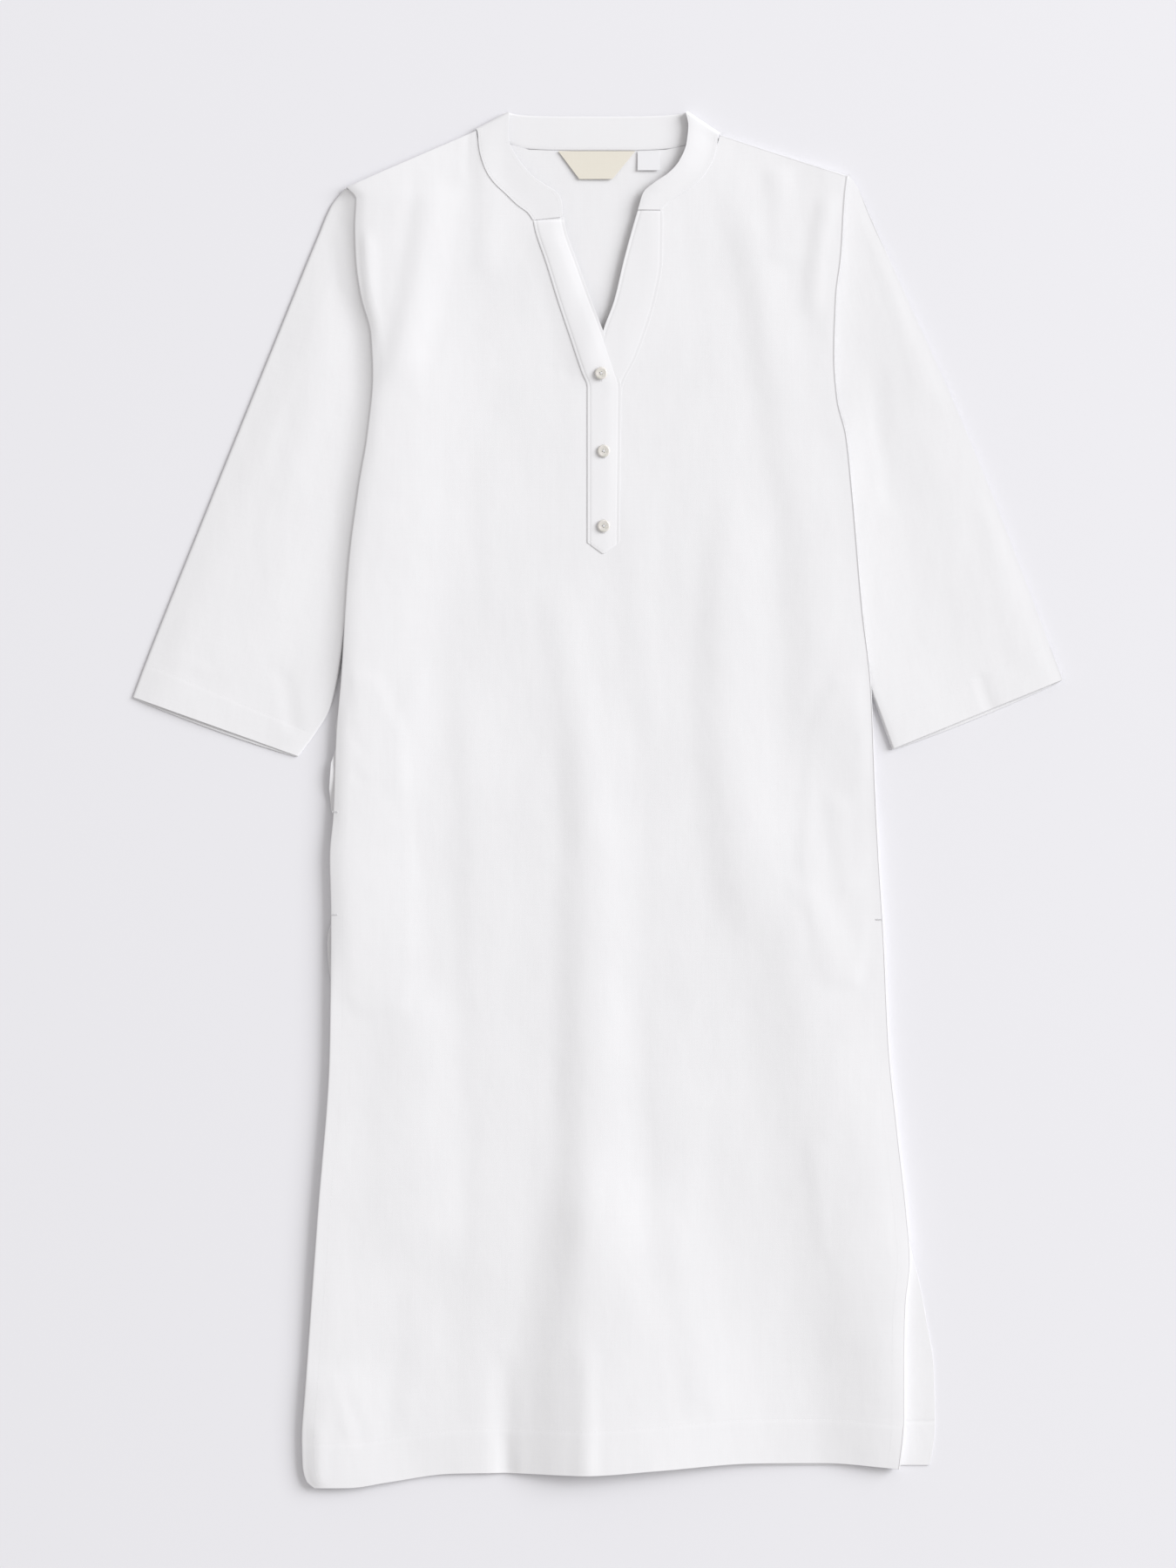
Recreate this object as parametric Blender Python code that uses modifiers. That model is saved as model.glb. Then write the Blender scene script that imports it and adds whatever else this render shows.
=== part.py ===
"""White cotton kurta, laid flat on its back with both sleeves spread.

The tables are in millimetres. "across" runs from the centre front to the picture's
right, "down" runs from the top of the neck band to the hem, and "rise" is the height
above the surface that the garment lies on. Blender's units are metres, with +Z up.
"""
import math
from bisect import bisect_right
from collections import namedtuple

import bmesh
import bpy
from mathutils import Vector

MM = 0.001

# Cloth and seams
CLOTH = 1.2            # wall of one layer of cloth
BAND_WALL = 1.6        # neck band, two layers with interfacing
LABEL_WALL = 1.0
SEAM_GAP = 0.6         # between two pieces that are sewn edge to edge
NECK_GAP = 0.8         # between the back and the neck band
SLEEVE_GAP = 0.8       # between the back and a sleeve beside it
LAY_GAP = 0.35         # under a piece that lies on another one
STRIP_GAP = 0.8        # under a strip that follows the folds of the panel below it
FLOOR_SEAT = 1.95      # outer face of the front where its edge is pressed on the back
TUCK_SEAT = 4.0        # the same where a sleeve or a pocket bag lies in between

# Front panel
DROP_WIDTH = 6.0       # plan width in which a side of the front rounds down
SHOULDER_DROP = 5.0
SLOT_DOWN = 353.0      # lower end of the front opening
HEM_DEPTH = 35.0
HEM_STEP = 0.3         # the turned hem is this much higher than the cloth above it
LEFT_ROLL = 3.4        # soft roll along the front's side folds
RIGHT_ROLL = 1.2
ROLL_WIDTH = 15.0      # outer side of a roll
LEFT_INNER = 95.0      # inner sides of the rolls
RIGHT_INNER = 50.0

# Sleeves
SLEEVE_EDGE = 3.0      # height of a sleeve at its edges and at the armhole
SLEEVE_MID = 1.5       # height of the fold line along its edges
SLEEVE_ROUND = 2.4     # plan width of the rounding at its edges
LOWER_LIP = 3.0        # the lower layer shows past the upper one at the cuff

# Buttons
BUTTON_RADIUS = 5.0
BUTTON_HOLE = 0.75
BUTTON_HOLE_RING = 1.45

Side = namedtuple("Side", "down across seat hold")
Fold = namedtuple("Fold", "name top_down top_across low_down low_across bow steep easy"
                          " spread rise_top rise_low")
Puff = namedtuple("Puff", "middle_top middle_low steep easy rise")
Button = namedtuple("Button", "name across down turn")

# Left side of the front from shoulder to hem: seat is the height of the pressed edge,
# and hold is how firmly it is held down, 1 at a seam and 0 where it is free.
LEFT_SIDE = (
    Side(62, -206.5, TUCK_SEAT, 1), Side(71, -199, TUCK_SEAT, 1),
    Side(93, -200, TUCK_SEAT, 1), Side(121, -199, TUCK_SEAT, 1),
    Side(149, -195, TUCK_SEAT, 1), Side(180, -187, TUCK_SEAT, 1),
    Side(212, -185.5, TUCK_SEAT, 1), Side(261, -190, TUCK_SEAT, 1),
    Side(303, -197, TUCK_SEAT, 1), Side(366, -205, TUCK_SEAT, 1),
    Side(457, -211, TUCK_SEAT, 1), Side(506, -215, TUCK_SEAT, 1),
    Side(564, -217, TUCK_SEAT, 1), Side(600, -220, FLOOR_SEAT, 1),
    Side(646, -219, FLOOR_SEAT, 1), Side(751, -220, FLOOR_SEAT, 1),
    Side(891, -230, FLOOR_SEAT, 1), Side(1031, -240, FLOOR_SEAT, 1),
    Side(1066, -242.5, FLOOR_SEAT, 0.8), Side(1090, -236, FLOOR_SEAT, 0.3),
    Side(1107, -224, FLOOR_SEAT, 0),
)
RIGHT_SIDE = (
    Side(53, 196, TUCK_SEAT, 1), Side(69, 194, TUCK_SEAT, 1),
    Side(117, 191, TUCK_SEAT, 1), Side(150, 187, TUCK_SEAT, 1),
    Side(198, 185.5, TUCK_SEAT, 1), Side(232, 188, TUCK_SEAT, 1),
    Side(261, 195, TUCK_SEAT, 1), Side(303, 199.5, TUCK_SEAT, 1),
    Side(401, 208, TUCK_SEAT, 1), Side(464, 215, TUCK_SEAT, 1),
    Side(541, 218, TUCK_SEAT, 1), Side(600, 221, FLOOR_SEAT, 1),
    Side(664, 225, FLOOR_SEAT, 1), Side(751, 229, FLOOR_SEAT, 1),
    Side(821, 236, FLOOR_SEAT, 1), Side(884, 243, FLOOR_SEAT, 1),
    Side(925, 246, FLOOR_SEAT, 1), Side(960, 242.5, FLOOR_SEAT, 0.7),
    Side(1003, 241.5, FLOOR_SEAT, 0.4), Side(1054, 241.5, FLOOR_SEAT, 0.15),
    Side(1091, 238, FLOOR_SEAT, 0),
)

# Lower edge of the front: across, down
FRONT_HEM = ((-224, 1107), (-205, 1106.5), (-170, 1102.5), (-114, 1095.5), (-75, 1095),
             (-9, 1095.5), (47, 1092), (124, 1087), (180, 1087), (238, 1091))
# Side slits and hem of the back, where they show past the front: down, across
BACK_RIGHT = ((905, 245), (947, 255), (975, 260), (1010, 265.5), (1059, 266.5), (1089, 262.5))
BACK_HEM_DOWN = 1089.0

# Seams of the neck band on the front: down, across
NECK_LEFT = ((16, -101.5), (30, -100), (42, -97), (51, -93), (59, -87), (66.5, -79),
             (76, -69), (82, -61), (88, -56.7))
NECK_RIGHT = ((19.6, 92.4), (37, 88.9), (53, 79.8), (62, 70.5), (68, 61), (73, 53),
              (80, 46))
# Edges of the front opening, under the placket strips: down, across
SLOT_LEFT = ((88, -56.7), (96, -50), (121, -41.9), (153, -32), (184, -21.6), (211, -12.5),
             (222, -9.5), (SLOT_DOWN, -9.5))
SLOT_RIGHT = ((80, 46), (121, 45.5), (163, 37), (191, 27), (219, 16.5), (SLOT_DOWN, 16))
# Upper strip, which ends in a point, and under strip: down, left edge, right edge
OVER_STRIP = ((88.6, -56.7, -31.8), (97, -55, -30), (121, -46.9, -21.5), (153, -37, -9.8),
              (184, -26.6, 2.1), (211, -17.5, 11.2), (222, -13.3, 14), (280, -13.3, 13.4),
              (347, -13.3, 12.6))
OVER_POINT = 9.5
UNDER_STRIP = ((80.6, 27.3, 45.3), (90, 24.5, 45.3), (121, 16.1, 44.8), (153, 8.4, 38.5),
               (178, -0.7, 31.2), (200, -5.5, 23), (222, -8.4, 15.4), (346, -8.4, 15.4))

# Free edge of the neck band beside its seam: seam down, free across, free down
BAND_LEFT = ((88, -32.9, 85.4), (82, -33.6, 75), (76, -37, 66.5), (66.5, -46, 60.5),
             (59, -56.7, 53), (51, -65, 44), (42, -72, 33.6), (30, -76.5, 21), (16, -76, 2.6))
BAND_RIGHT = ((19.6, 66, 2), (28, 68, 12), (37, 66.5, 26.6), (53, 60.5, 41), (62, 52, 50.5),
              (68, 41, 58), (73, 32, 66), (80, 27.6, 79.8))
# Inner face of the band at the back: free across, free down, seam across, seam down
BAND_BACK = ((-72, 2.2, -97, 18.5), (-66, 3, -80, 24.5), (-55, 3.6, -60, 30),
             (-20, 4, -20, 31.3), (20, 4, 20, 31.3), (46, 3.4, 50, 30), (56, 2.6, 70, 26),
             (63, 1.8, 87, 22))
BAND_RISE = 0.8
FOLD_OUT = 1.4         # how far the band's shoulder fold stands out
FOLD_RISE = 3.4
FOLD_CLEAR = 2.6       # the front's neck corner stays this much further from the fold

# Folds of the front, each a ridge: its flank on the left is steep, and the other one
# easy. spread is how much wider it is at its low end, and bow is its sideways bend.
FOLDS = (
    Fold("centre", 430, -12, 980, -12, 0, 28, 44, 1.25, 1.2, 3.2),
    Fold("centre_hem", 800, -13, 1300, -13, 0, 44, 120, 2.0, 0.0, 17.5),
    Fold("left_waist", 400, -118, 1200, -102, 12, 18, 40, 1.3, 0.7, 0.2),
    Fold("left_cross", 370, -42, 610, -14, 2, 20, 26, 1.2, 0.6, 0.8),
    Fold("right_waist", 285, 110, 690, 126, -20, 28, 40, 1.3, 1.3, 1.8),
    Fold("right_chest", 22, 97, 540, 176, 16, 26, 34, 1.2, 1.2, 1.3),
    Fold("right_shoulder", 40, 139, 130, 147, 0, 16, 18, 1.2, 0.8, 0.6),
    Fold("right_armhole", 62, 182, 170, 168, -2, 14, 12, 1.0, 0.8, 0.6),
    Fold("left_neck", 10, -95, 140, -96, 0, 12, 18, 1.2, 0.7, 0.6),
    Fold("left_chest", 50, -135, 230, -172, 3, 18, 30, 1.0, 1.2, 1.5),
    Fold("placket_side", 85, -48, 225, -6, 0, 22, 22, 1.0, 0.9, 1.0),
    Fold("right_neck", 6, 74, 232, -12, -14, 28, 85, 1.0, 1.8, 0.8),
    Fold("right_hip", 500, 127, 1200, 266, 0, 66, 60, 1.1, 1.8, 4.0),
    Fold("left_thigh", 690, -152, 940, -148, 0, 52, 44, 1.1, 1.8, 1.4),
    Fold("right_corner", 960, 224, 1160, 232, 0, 60, 40, 1.3, 0.8, 1.6),
    Fold("left_corner", 1000, -226, 1160, -222, 0, 26, 80, 1.2, 1.0, 5.0),
)

# Soft height of the front between its folds: down, rise
BODY_RISE = ((0, 4.6), (120, 5.2), (900, 5.4), (1000, 4.4), (1110, 3.3))

# Sleeves: each line is across, down, and leaves is where the inner edge comes out from
# under the front
SLEEVE_LEFT = {
    "outer": ((-208.6, 62.3), (-219, 75.6), (-229.6, 100), (-261, 177), (-320.6, 324),
              (-369.6, 446.6), (-378.7, 471)),
    "inner": ((-178.5, 186), (-181, 215), (-185, 261), (-192.5, 303), (-201.5, 366),
              (-207.5, 415), (-211.5, 445), (-220.5, 481), (-232.4, 501), (-245.7, 518.7)),
    "cap": ((-208.6, 62.3), (-201, 66), (-194.5, 73), (-191, 93), (-190.5, 121),
            (-187, 149), (-180, 175), (-178.5, 186)),
    "leaves": 442,
    "puffs": (Puff(0.22, 0.18, 0.20, 0.70, 1.0), Puff(0.55, 0.50, 0.30, 0.30, 0.3)),
}
SLEEVE_RIGHT = {
    "outer": ((197.4, 51), (204.4, 61.6), (215, 86), (246.4, 156), (278, 226), (313, 310),
              (369, 457)),
    "inner": ((184, 233), (190.5, 261), (195.5, 303), (204.5, 401), (211.5, 455), (223, 489),
              (231.7, 513)),
    "cap": ((197.4, 51), (192, 60), (189, 72), (187, 117), (183, 150), (181.5, 198),
            (184, 233)),
    "leaves": 468,
    "puffs": (Puff(0.74, 0.74, 0.40, 0.18, 0.7), Puff(0.00, 0.10, 0.12, 0.34, 1.5)),
}

# In-seam pocket bags between the layers: across, down
POCKET_LEFT = ((-203, 452), (-180, 456), (-160, 500), (-152, 600), (-152, 700), (-160, 725),
               (-196, 727), (-208, 712), (-211, 640), (-212, 574), (-219, 562), (-220.5, 545),
               (-219, 524), (-214, 510), (-215.5, 494), (-213.5, 484), (-206, 474))
POCKET_RIGHT = ((206, 452), (184, 456), (164, 500), (157, 600), (168, 675), (180, 702),
                (204, 704), (212, 680), (212, 500), (208, 474))
POCKET_WALL = 1.5

# Labels inside the back of the neck: across, down
NECK_LABEL = ((-36.4, 32.2), (25.2, 32.2), (7, 54.6), (-19.6, 54.6))
CARE_TAB = ((27.3, 32.2), (44.8, 32.2), (44.8, 47.6), (27.3, 47.6))

BUTTONS = (
    Button("button_top", -2.1, 211.4, 20),
    Button("button_middle", 0.0, 273.7, 65),
    Button("button_bottom", 0.0, 333.9, 40),
)

WHITE_CLOTH = (0.80, 0.80, 0.82)
BEIGE_LABEL = (0.72, 0.66, 0.54)
PEARL_WHITE = (0.74, 0.75, 0.77)


# Small mathematics

def smooth(value):
    """Ease from 0 to 1 as the value goes from 0 to 1."""
    value = min(max(value, 0.0), 1.0)
    return value * value * (3.0 - 2.0 * value)


def blend(first, second, share):
    """Number a share of the way from the first to the second."""
    return first + (second - first) * share


def bump(offset, steep, easy):
    """Soft ridge of height 1, steep wide on its left and easy wide on its right."""
    reach = abs(offset) / (steep if offset < 0 else easy)
    return 0.5 * (1.0 + math.cos(math.pi * min(reach, 1.0)))


def quarter(distance, width):
    """Quarter ellipse, 0 at an edge and 1 from a width inside it."""
    share = min(max(distance / width, 0.0), 1.0)
    return math.sqrt(1.0 - (1.0 - share) ** 2)


class Curve:
    """Smooth line through the rows of a table, read at a value of its first column."""

    def __init__(self, rows, column=1):
        self.at = [row[0] for row in rows]
        self.value = [row[column] for row in rows]
        steps = [(self.value[i + 1] - self.value[i]) / (self.at[i + 1] - self.at[i])
                 for i in range(len(rows) - 1)]
        self.slope = [steps[0]]
        for before, after in zip(steps, steps[1:]):
            level = before * after <= 0.0
            self.slope.append(0.0 if level else 2.0 * before * after / (before + after))
        self.slope.append(steps[-1])

    def __call__(self, place):
        place = min(max(place, self.at[0]), self.at[-1])
        i = min(bisect_right(self.at, place), len(self.at) - 1) - 1
        length = self.at[i + 1] - self.at[i]
        t = (place - self.at[i]) / length
        near = self.value[i] * (1 + 2 * t) * (1 - t) ** 2
        near += self.slope[i] * length * t * (1 - t) ** 2
        far = self.value[i + 1] * t * t * (3 - 2 * t)
        far -= self.slope[i + 1] * length * t * t * (1 - t)
        return near + far


class Line:
    """Smooth plan line through points, read at a share of its length."""

    def __init__(self, points):
        run = [0.0]
        for first, second in zip(points, points[1:]):
            run.append(run[-1] + math.dist(first, second))
        share = [length / run[-1] for length in run]
        self.across = Curve([(s, p[0]) for s, p in zip(share, points)])
        self.down = Curve([(s, p[1]) for s, p in zip(share, points)])

    def __call__(self, share):
        return self.across(share), self.down(share)


def spaced(first, last, count):
    """Evenly spaced numbers from the first to the last, both included."""
    return [blend(first, last, i / (count - 1)) for i in range(count)]


def moved(points, distance):
    """Plan points moved sideways, to the right of the way they run when seen from above."""
    result = []
    for i, (across, down) in enumerate(points):
        before, after = points[max(i - 1, 0)], points[min(i + 1, len(points) - 1)]
        run = Vector((after[0] - before[0], after[1] - before[1])).normalized()
        result.append((across - run.y * distance, down + run.x * distance))
    return result


# Stations and curves read from the tables

SLEEVE_STATIONS = [0.0, 0.05, 0.11] + spaced(0.18, 0.94, 9) + [1.0]
left_edge = Curve(LEFT_SIDE, 1)
left_seat = Curve(LEFT_SIDE, 2)
left_hold = Curve(LEFT_SIDE, 3)
right_edge = Curve(RIGHT_SIDE, 1)
right_seat = Curve(RIGHT_SIDE, 2)
right_hold = Curve(RIGHT_SIDE, 3)
front_hem = Curve(FRONT_HEM)
body_rise = Curve(BODY_RISE)
neck_left = Curve(NECK_LEFT)
neck_right = Curve(NECK_RIGHT)


# Height of the cloth

def fold_rise(fold, across, down):
    """Height that one fold adds at a place."""
    share = (down - fold.top_down) / (fold.low_down - fold.top_down)
    if not 0.0 < share < 1.0:
        return 0.0
    middle = blend(fold.top_across, fold.low_across, share)
    middle += fold.bow * 4.0 * share * (1.0 - share)
    width = blend(1.0, fold.spread, share)
    ends = smooth(share / 0.18) * smooth((1.0 - share) / 0.18)
    ridge = bump(across - middle, fold.steep * width, fold.easy * width)
    return blend(fold.rise_top, fold.rise_low, share) * ends * ridge


def front_rise(across, down):
    """Height of the front's outer face, away from its pressed edges."""
    rise = body_rise(down) + sum(fold_rise(fold, across, down) for fold in FOLDS)
    from_left = across - left_edge(down) - DROP_WIDTH
    from_right = right_edge(down) - across - DROP_WIDTH
    rise += LEFT_ROLL * bump(from_left, ROLL_WIDTH, LEFT_INNER) * left_hold(down)
    rise += RIGHT_ROLL * bump(from_right, ROLL_WIDTH, RIGHT_INNER) * right_hold(down)
    above_hem = front_hem(across) - down
    return rise + HEM_STEP * smooth((HEM_DEPTH + 2.0 - above_hem) / 6.0)


def shoulder_down(across):
    """Down of the shoulder line at a place across."""
    if across < 0:
        first, last = (LEFT_SIDE[0].across, LEFT_SIDE[0].down), NECK_LEFT[0][::-1]
    else:
        first, last = (RIGHT_SIDE[0].across, RIGHT_SIDE[0].down), NECK_RIGHT[0][::-1]
    return blend(first[1], last[1], (across - first[0]) / (last[0] - first[0]))


def pressed_rise(across, down):
    """Height of the front's outer face with its sides and shoulders pressed down."""
    from_left = across - left_edge(down)
    from_right = right_edge(down) - across
    near_left = from_left < from_right
    edge, seat, hold = ((from_left, left_seat, left_hold) if near_left
                        else (from_right, right_seat, right_hold))
    side = 1.0 - hold(down) * (1.0 - quarter(edge, DROP_WIDTH))
    top = quarter(down - shoulder_down(across), SHOULDER_DROP)
    return blend(seat(down), front_rise(across, down), min(side, top))


# Blender objects

def place(across, down, rise):
    """Blender point of a place on the garment."""
    return Vector((across * MM, -down * MM, rise * MM))


def new_material(name, colour, roughness):
    """Plain Principled material."""
    material = bpy.data.materials.new(name)
    material.use_nodes = True
    shader = material.node_tree.nodes["Principled BSDF"]
    shader.inputs["Base Color"].default_value = (*colour, 1.0)
    shader.inputs["Roughness"].default_value = roughness
    shader.inputs["Metallic"].default_value = 0.0
    return material


def add_object(name, data, collection, colour, roughness):
    """Put an object with a material of its own in a collection."""
    piece = bpy.data.objects.new(name, data)
    collection.objects.link(piece)
    if colour is not None:
        data.materials.append(new_material(name, colour, roughness))
    return piece


def smooth_mesh(mesh, degrees):
    """Shade a mesh smooth, with edges over an angle kept sharp."""
    mesh.shade_smooth()
    mesh.set_sharp_from_angle(angle=math.radians(degrees))


def grid_mesh(name, grid):
    """Open surface through rows of points, with a hole where a point is None."""
    shape = bmesh.new()
    corners = [[shape.verts.new(point) if point else None for point in row] for row in grid]
    for upper, lower in zip(corners, corners[1:]):
        for i in range(len(upper) - 1):
            loop = (upper[i], lower[i], lower[i + 1], upper[i + 1])
            if all(loop):
                shape.faces.new(loop)
    mesh = bpy.data.meshes.new(name)
    shape.to_mesh(mesh)
    shape.free()
    smooth_mesh(mesh, 60)
    return mesh


def cloth_object(name, grid, wall, offset, collection, colour=WHITE_CLOTH):
    """Sheet of cloth: an open surface with a wall."""
    piece = add_object(name, grid_mesh(name, grid), collection, colour, 0.9)
    solid = piece.modifiers.new("Cloth", "SOLIDIFY")
    solid.thickness = wall * MM
    solid.offset = offset
    solid.use_even_offset = True
    return piece


def flat_object(name, outline, low, wall, collection, colour=WHITE_CLOTH):
    """Flat piece of cloth: a filled outline with a wall."""
    curve = bpy.data.curves.new(name, "CURVE")
    curve.dimensions = "2D"
    curve.fill_mode = "BOTH"
    curve.extrude = wall * MM / 2.0
    spline = curve.splines.new("POLY")
    spline.points.add(len(outline) - 1)
    for point, (across, down) in zip(spline.points, outline):
        point.co = (across * MM, -down * MM, 0.0, 1.0)
    spline.use_cyclic_u = True
    piece = add_object(name, curve, collection, colour, 0.9)
    piece.location.z = (low + wall / 2.0) * MM
    return piece


# Front

def side_offsets(width, count):
    """Distances from a side edge: close together in its rounding, then even."""
    rounding = [0.0, 0.4, 1.4, 3.2, 6.0]
    return rounding + spaced(rounding[-1], width, count + 1)[1:]


def front_row(share, columns):
    """One row of the front above the slot's end, as its left half and its right half."""
    halves = []
    for side, edge, neck, neck_rows, slot_rows, sign in (
            (LEFT_SIDE, left_edge, neck_left, NECK_LEFT, SLOT_LEFT, -1),
            (RIGHT_SIDE, right_edge, neck_right, NECK_RIGHT, SLOT_RIGHT, 1)):
        side_down = blend(side[0].down, SLOT_DOWN, share)
        inner_down = blend(neck_rows[0][0], SLOT_DOWN, share)
        inner_line = neck if inner_down < neck_rows[-1][0] else Curve(slot_rows)
        clear = SEAM_GAP + FOLD_CLEAR * (1.0 - smooth(share / 0.06))
        start, stop = edge(side_down), inner_line(inner_down) + sign * clear
        line = []
        for offset in side_offsets(abs(stop - start), columns):
            along = offset / abs(stop - start)
            line.append((blend(start, stop, along), blend(side_down, inner_down, along)))
        halves.append(line)
    return halves


def build_front(collection):
    """Front: one panel with an opening down to the slot's end."""
    columns = 17
    top_shares = [0.0, 0.004, 0.012, 0.03, 0.06] + spaced(0.11, 1.0, 14)
    grid = []
    for share in top_shares:
        left, right = front_row(share, columns)
        middle = [None, None] if share < 1.0 else [
            (blend(left[-1][0], right[-1][0], part), SLOT_DOWN) for part in (1 / 3, 2 / 3)]
        grid.append(left + middle + right[::-1])
    hem_share = 1.0 - HEM_DEPTH / (BACK_HEM_DOWN - SLOT_DOWN)
    low_shares = spaced(0.0, hem_share - 0.006, 26)[1:] + [hem_share + 0.006, 0.978, 1.0]
    for share in low_shares:
        row = []
        for across_start, _ in grid[len(top_shares) - 1]:
            start_share = (across_start - left_edge(SLOT_DOWN)) / (
                right_edge(SLOT_DOWN) - left_edge(SLOT_DOWN))
            hem_across = blend(FRONT_HEM[0][0], FRONT_HEM[-1][0], start_share)
            down = blend(SLOT_DOWN, front_hem(hem_across), share)
            across = blend(left_edge(down), right_edge(down), start_share)
            row.append((across, down))
        grid.append(row)
    points = [[place(*spot, pressed_rise(*spot)) if spot else None for spot in row]
              for row in grid]
    return cloth_object("front", points, CLOTH, -1.0, collection)


# Back

def back_side(sleeve, edge, sign):
    """Side of the back from shoulder to slit: beside the sleeve, then under the front."""
    spot = sleeve_plan(sleeve)
    beside = [spot(0.0, over) for over in ring_shares(spot, 0.0, 0.0)]
    beside += [spot(along, 1.0) for along in SLEEVE_STATIONS[1:]]
    past = [(across, down) for across, down in moved(beside, sign * SLEEVE_GAP)
            if down < sleeve["leaves"]]
    below = [(edge(down) - sign * SEAM_GAP, down)
             for down in spaced(sleeve["leaves"] + 8, 890, 12)]
    return past[1:] + below


def build_back(collection):
    """Back: one flat panel that the garment lies on."""
    left = back_side(SLEEVE_LEFT, left_edge, -1)
    left += [(left_edge(down) - 0.6, down) for down in spaced(930, 1072, 5)]
    right = back_side(SLEEVE_RIGHT, right_edge, 1)
    slit = Line([(across, down) for down, across in BACK_RIGHT])
    right += [slit(share) for share in spaced(0.0, 1.0, 9)]
    hem = [(-238, BACK_HEM_DOWN), (0, BACK_HEM_DOWN)]
    neck = Line([(free[2], free[3]) for free in BAND_BACK])
    neckline = moved([neck(share) for share in spaced(1.0, 0.0, 21)], -NECK_GAP)
    shoulder_right = (BAND_BACK[-1][2] + 6.0, NECK_RIGHT[0][0] + 1.8)
    shoulder_left = (BAND_BACK[0][2] - 6.0, NECK_LEFT[0][0] + 2.4)
    outline = [shoulder_left] + left + hem + right[::-1] + [shoulder_right] + neckline
    return flat_object("back", outline, 0.0, CLOTH, collection)


# Sleeves

def sleeve_plan(sleeve):
    """Plan of a sleeve: a patch between its cap, cuff, outer and inner lines."""
    outer, inner, cap = (Line(sleeve[key]) for key in ("outer", "inner", "cap"))
    start, end = Vector(sleeve["outer"][-1]), Vector(sleeve["inner"][-1])

    def spot(along, over):
        sides = Vector(outer(along)).lerp(Vector(inner(along)), over)
        ends = Vector(cap(over)).lerp(start.lerp(end, over), along)
        corners = Vector(cap(0.0)).lerp(Vector(cap(1.0)), over)
        return sides + ends - corners.lerp(start.lerp(end, over), along)

    return spot


def sleeve_rise(sleeve, along, over):
    """Height of a sleeve's upper layer."""
    rise = SLEEVE_EDGE
    for puff in sleeve["puffs"]:
        middle = blend(puff.middle_top, puff.middle_low, along)
        grow = smooth((along - 0.05) / 0.22)
        rise += puff.rise * grow * bump(over - middle, puff.steep, puff.easy)
    return rise


def ring_shares(spot, along, inset):
    """Places across a sleeve, close together in the rounding of its two edges."""
    width = (spot(along, 0.0) - spot(along, 1.0)).length
    rounding = [inset + step for step in (0.0, 0.5, 1.3, SLEEVE_ROUND)]
    offsets = rounding + spaced(rounding[-1], width - rounding[-1], 12)[1:-1]
    offsets += [width - step for step in reversed(rounding)]
    return [offset / width for offset in offsets]


def sleeve_ring(sleeve, spot, along, inset):
    """Closed ring of points round a sleeve, a wall inside its outer face by inset."""
    width = (spot(along, 0.0) - spot(along, 1.0)).length
    upper, lower = [], []
    for over in ring_shares(spot, along, inset):
        edge = min(over, 1.0 - over) * width - inset
        full = quarter(edge, SLEEVE_ROUND)
        across, down = spot(along, over)
        top = sleeve_rise(sleeve, along, over) - inset
        upper.append(place(across, down, blend(SLEEVE_MID, top, full)))
        lip = LOWER_LIP * smooth((along - 0.9) / 0.1) * math.sin(math.pi * over) ** 0.5
        lower.append(place(across, down + lip, blend(SLEEVE_MID, inset, full)))
    return upper + lower[-2:0:-1]


def tube_mesh(name, outside, inside):
    """Tube with a wall, from rings on its outer face and rings on its inner face."""
    shape = bmesh.new()
    skins = [[[shape.verts.new(point) for point in ring] for ring in rings]
             for rings in (outside, inside)]
    count = len(outside[0])
    for rings in skins:
        for first, second in zip(rings, rings[1:]):
            for i in range(count):
                shape.faces.new((first[i], first[i - 1], second[i - 1], second[i]))
    for end in (0, -1):
        first, second = skins[0][end], skins[1][end]
        for i in range(count):
            shape.faces.new((first[i], second[i], second[i - 1], first[i - 1]))
    bmesh.ops.recalc_face_normals(shape, faces=shape.faces)
    mesh = bpy.data.meshes.new(name)
    shape.to_mesh(mesh)
    shape.free()
    smooth_mesh(mesh, 60)
    return mesh


def build_sleeve(name, sleeve, collection):
    """Sleeve: a flattened tube, open at the armhole and at the cuff."""
    spot = sleeve_plan(sleeve)
    outside, inside = ([sleeve_ring(sleeve, spot, along, inset) for along in SLEEVE_STATIONS]
                       for inset in (0.0, CLOTH))
    return add_object(name, tube_mesh(name, outside, inside), collection, WHITE_CLOTH, 0.9)


# Neck band and placket

def band_stations():
    """Pairs of free and seam points along the neck band, from end to end."""
    left = [((across, down, None), (neck_left(seam), seam, None))
            for seam, across, down in BAND_LEFT]
    right = [((across, down, None), (neck_right(seam), seam, None))
             for seam, across, down in BAND_RIGHT]
    back = [((row[0], row[1], BAND_RISE), (row[2], row[3], BAND_RISE)) for row in BAND_BACK]
    turns = []
    for (free, seam), sign in ((left[-1], -1), (right[0], 1)):
        turns.append(((free[0] + sign * FOLD_OUT, free[1] - FOLD_OUT, FOLD_RISE),
                      (seam[0] + sign * FOLD_OUT, seam[1] - FOLD_OUT, FOLD_RISE)))
    return left + [turns[0]] + back + [turns[1]] + right


def band_point(station, share):
    """Middle of the band's wall, a share of the way from its free edge to its seam."""
    free, seam = station
    across, down = (blend(free[axis], seam[axis], share) for axis in (0, 1))
    rise = free[2]
    if rise is None:
        rise = front_rise(across, down) + STRIP_GAP + BAND_WALL / 2.0
    return across, down, rise


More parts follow.
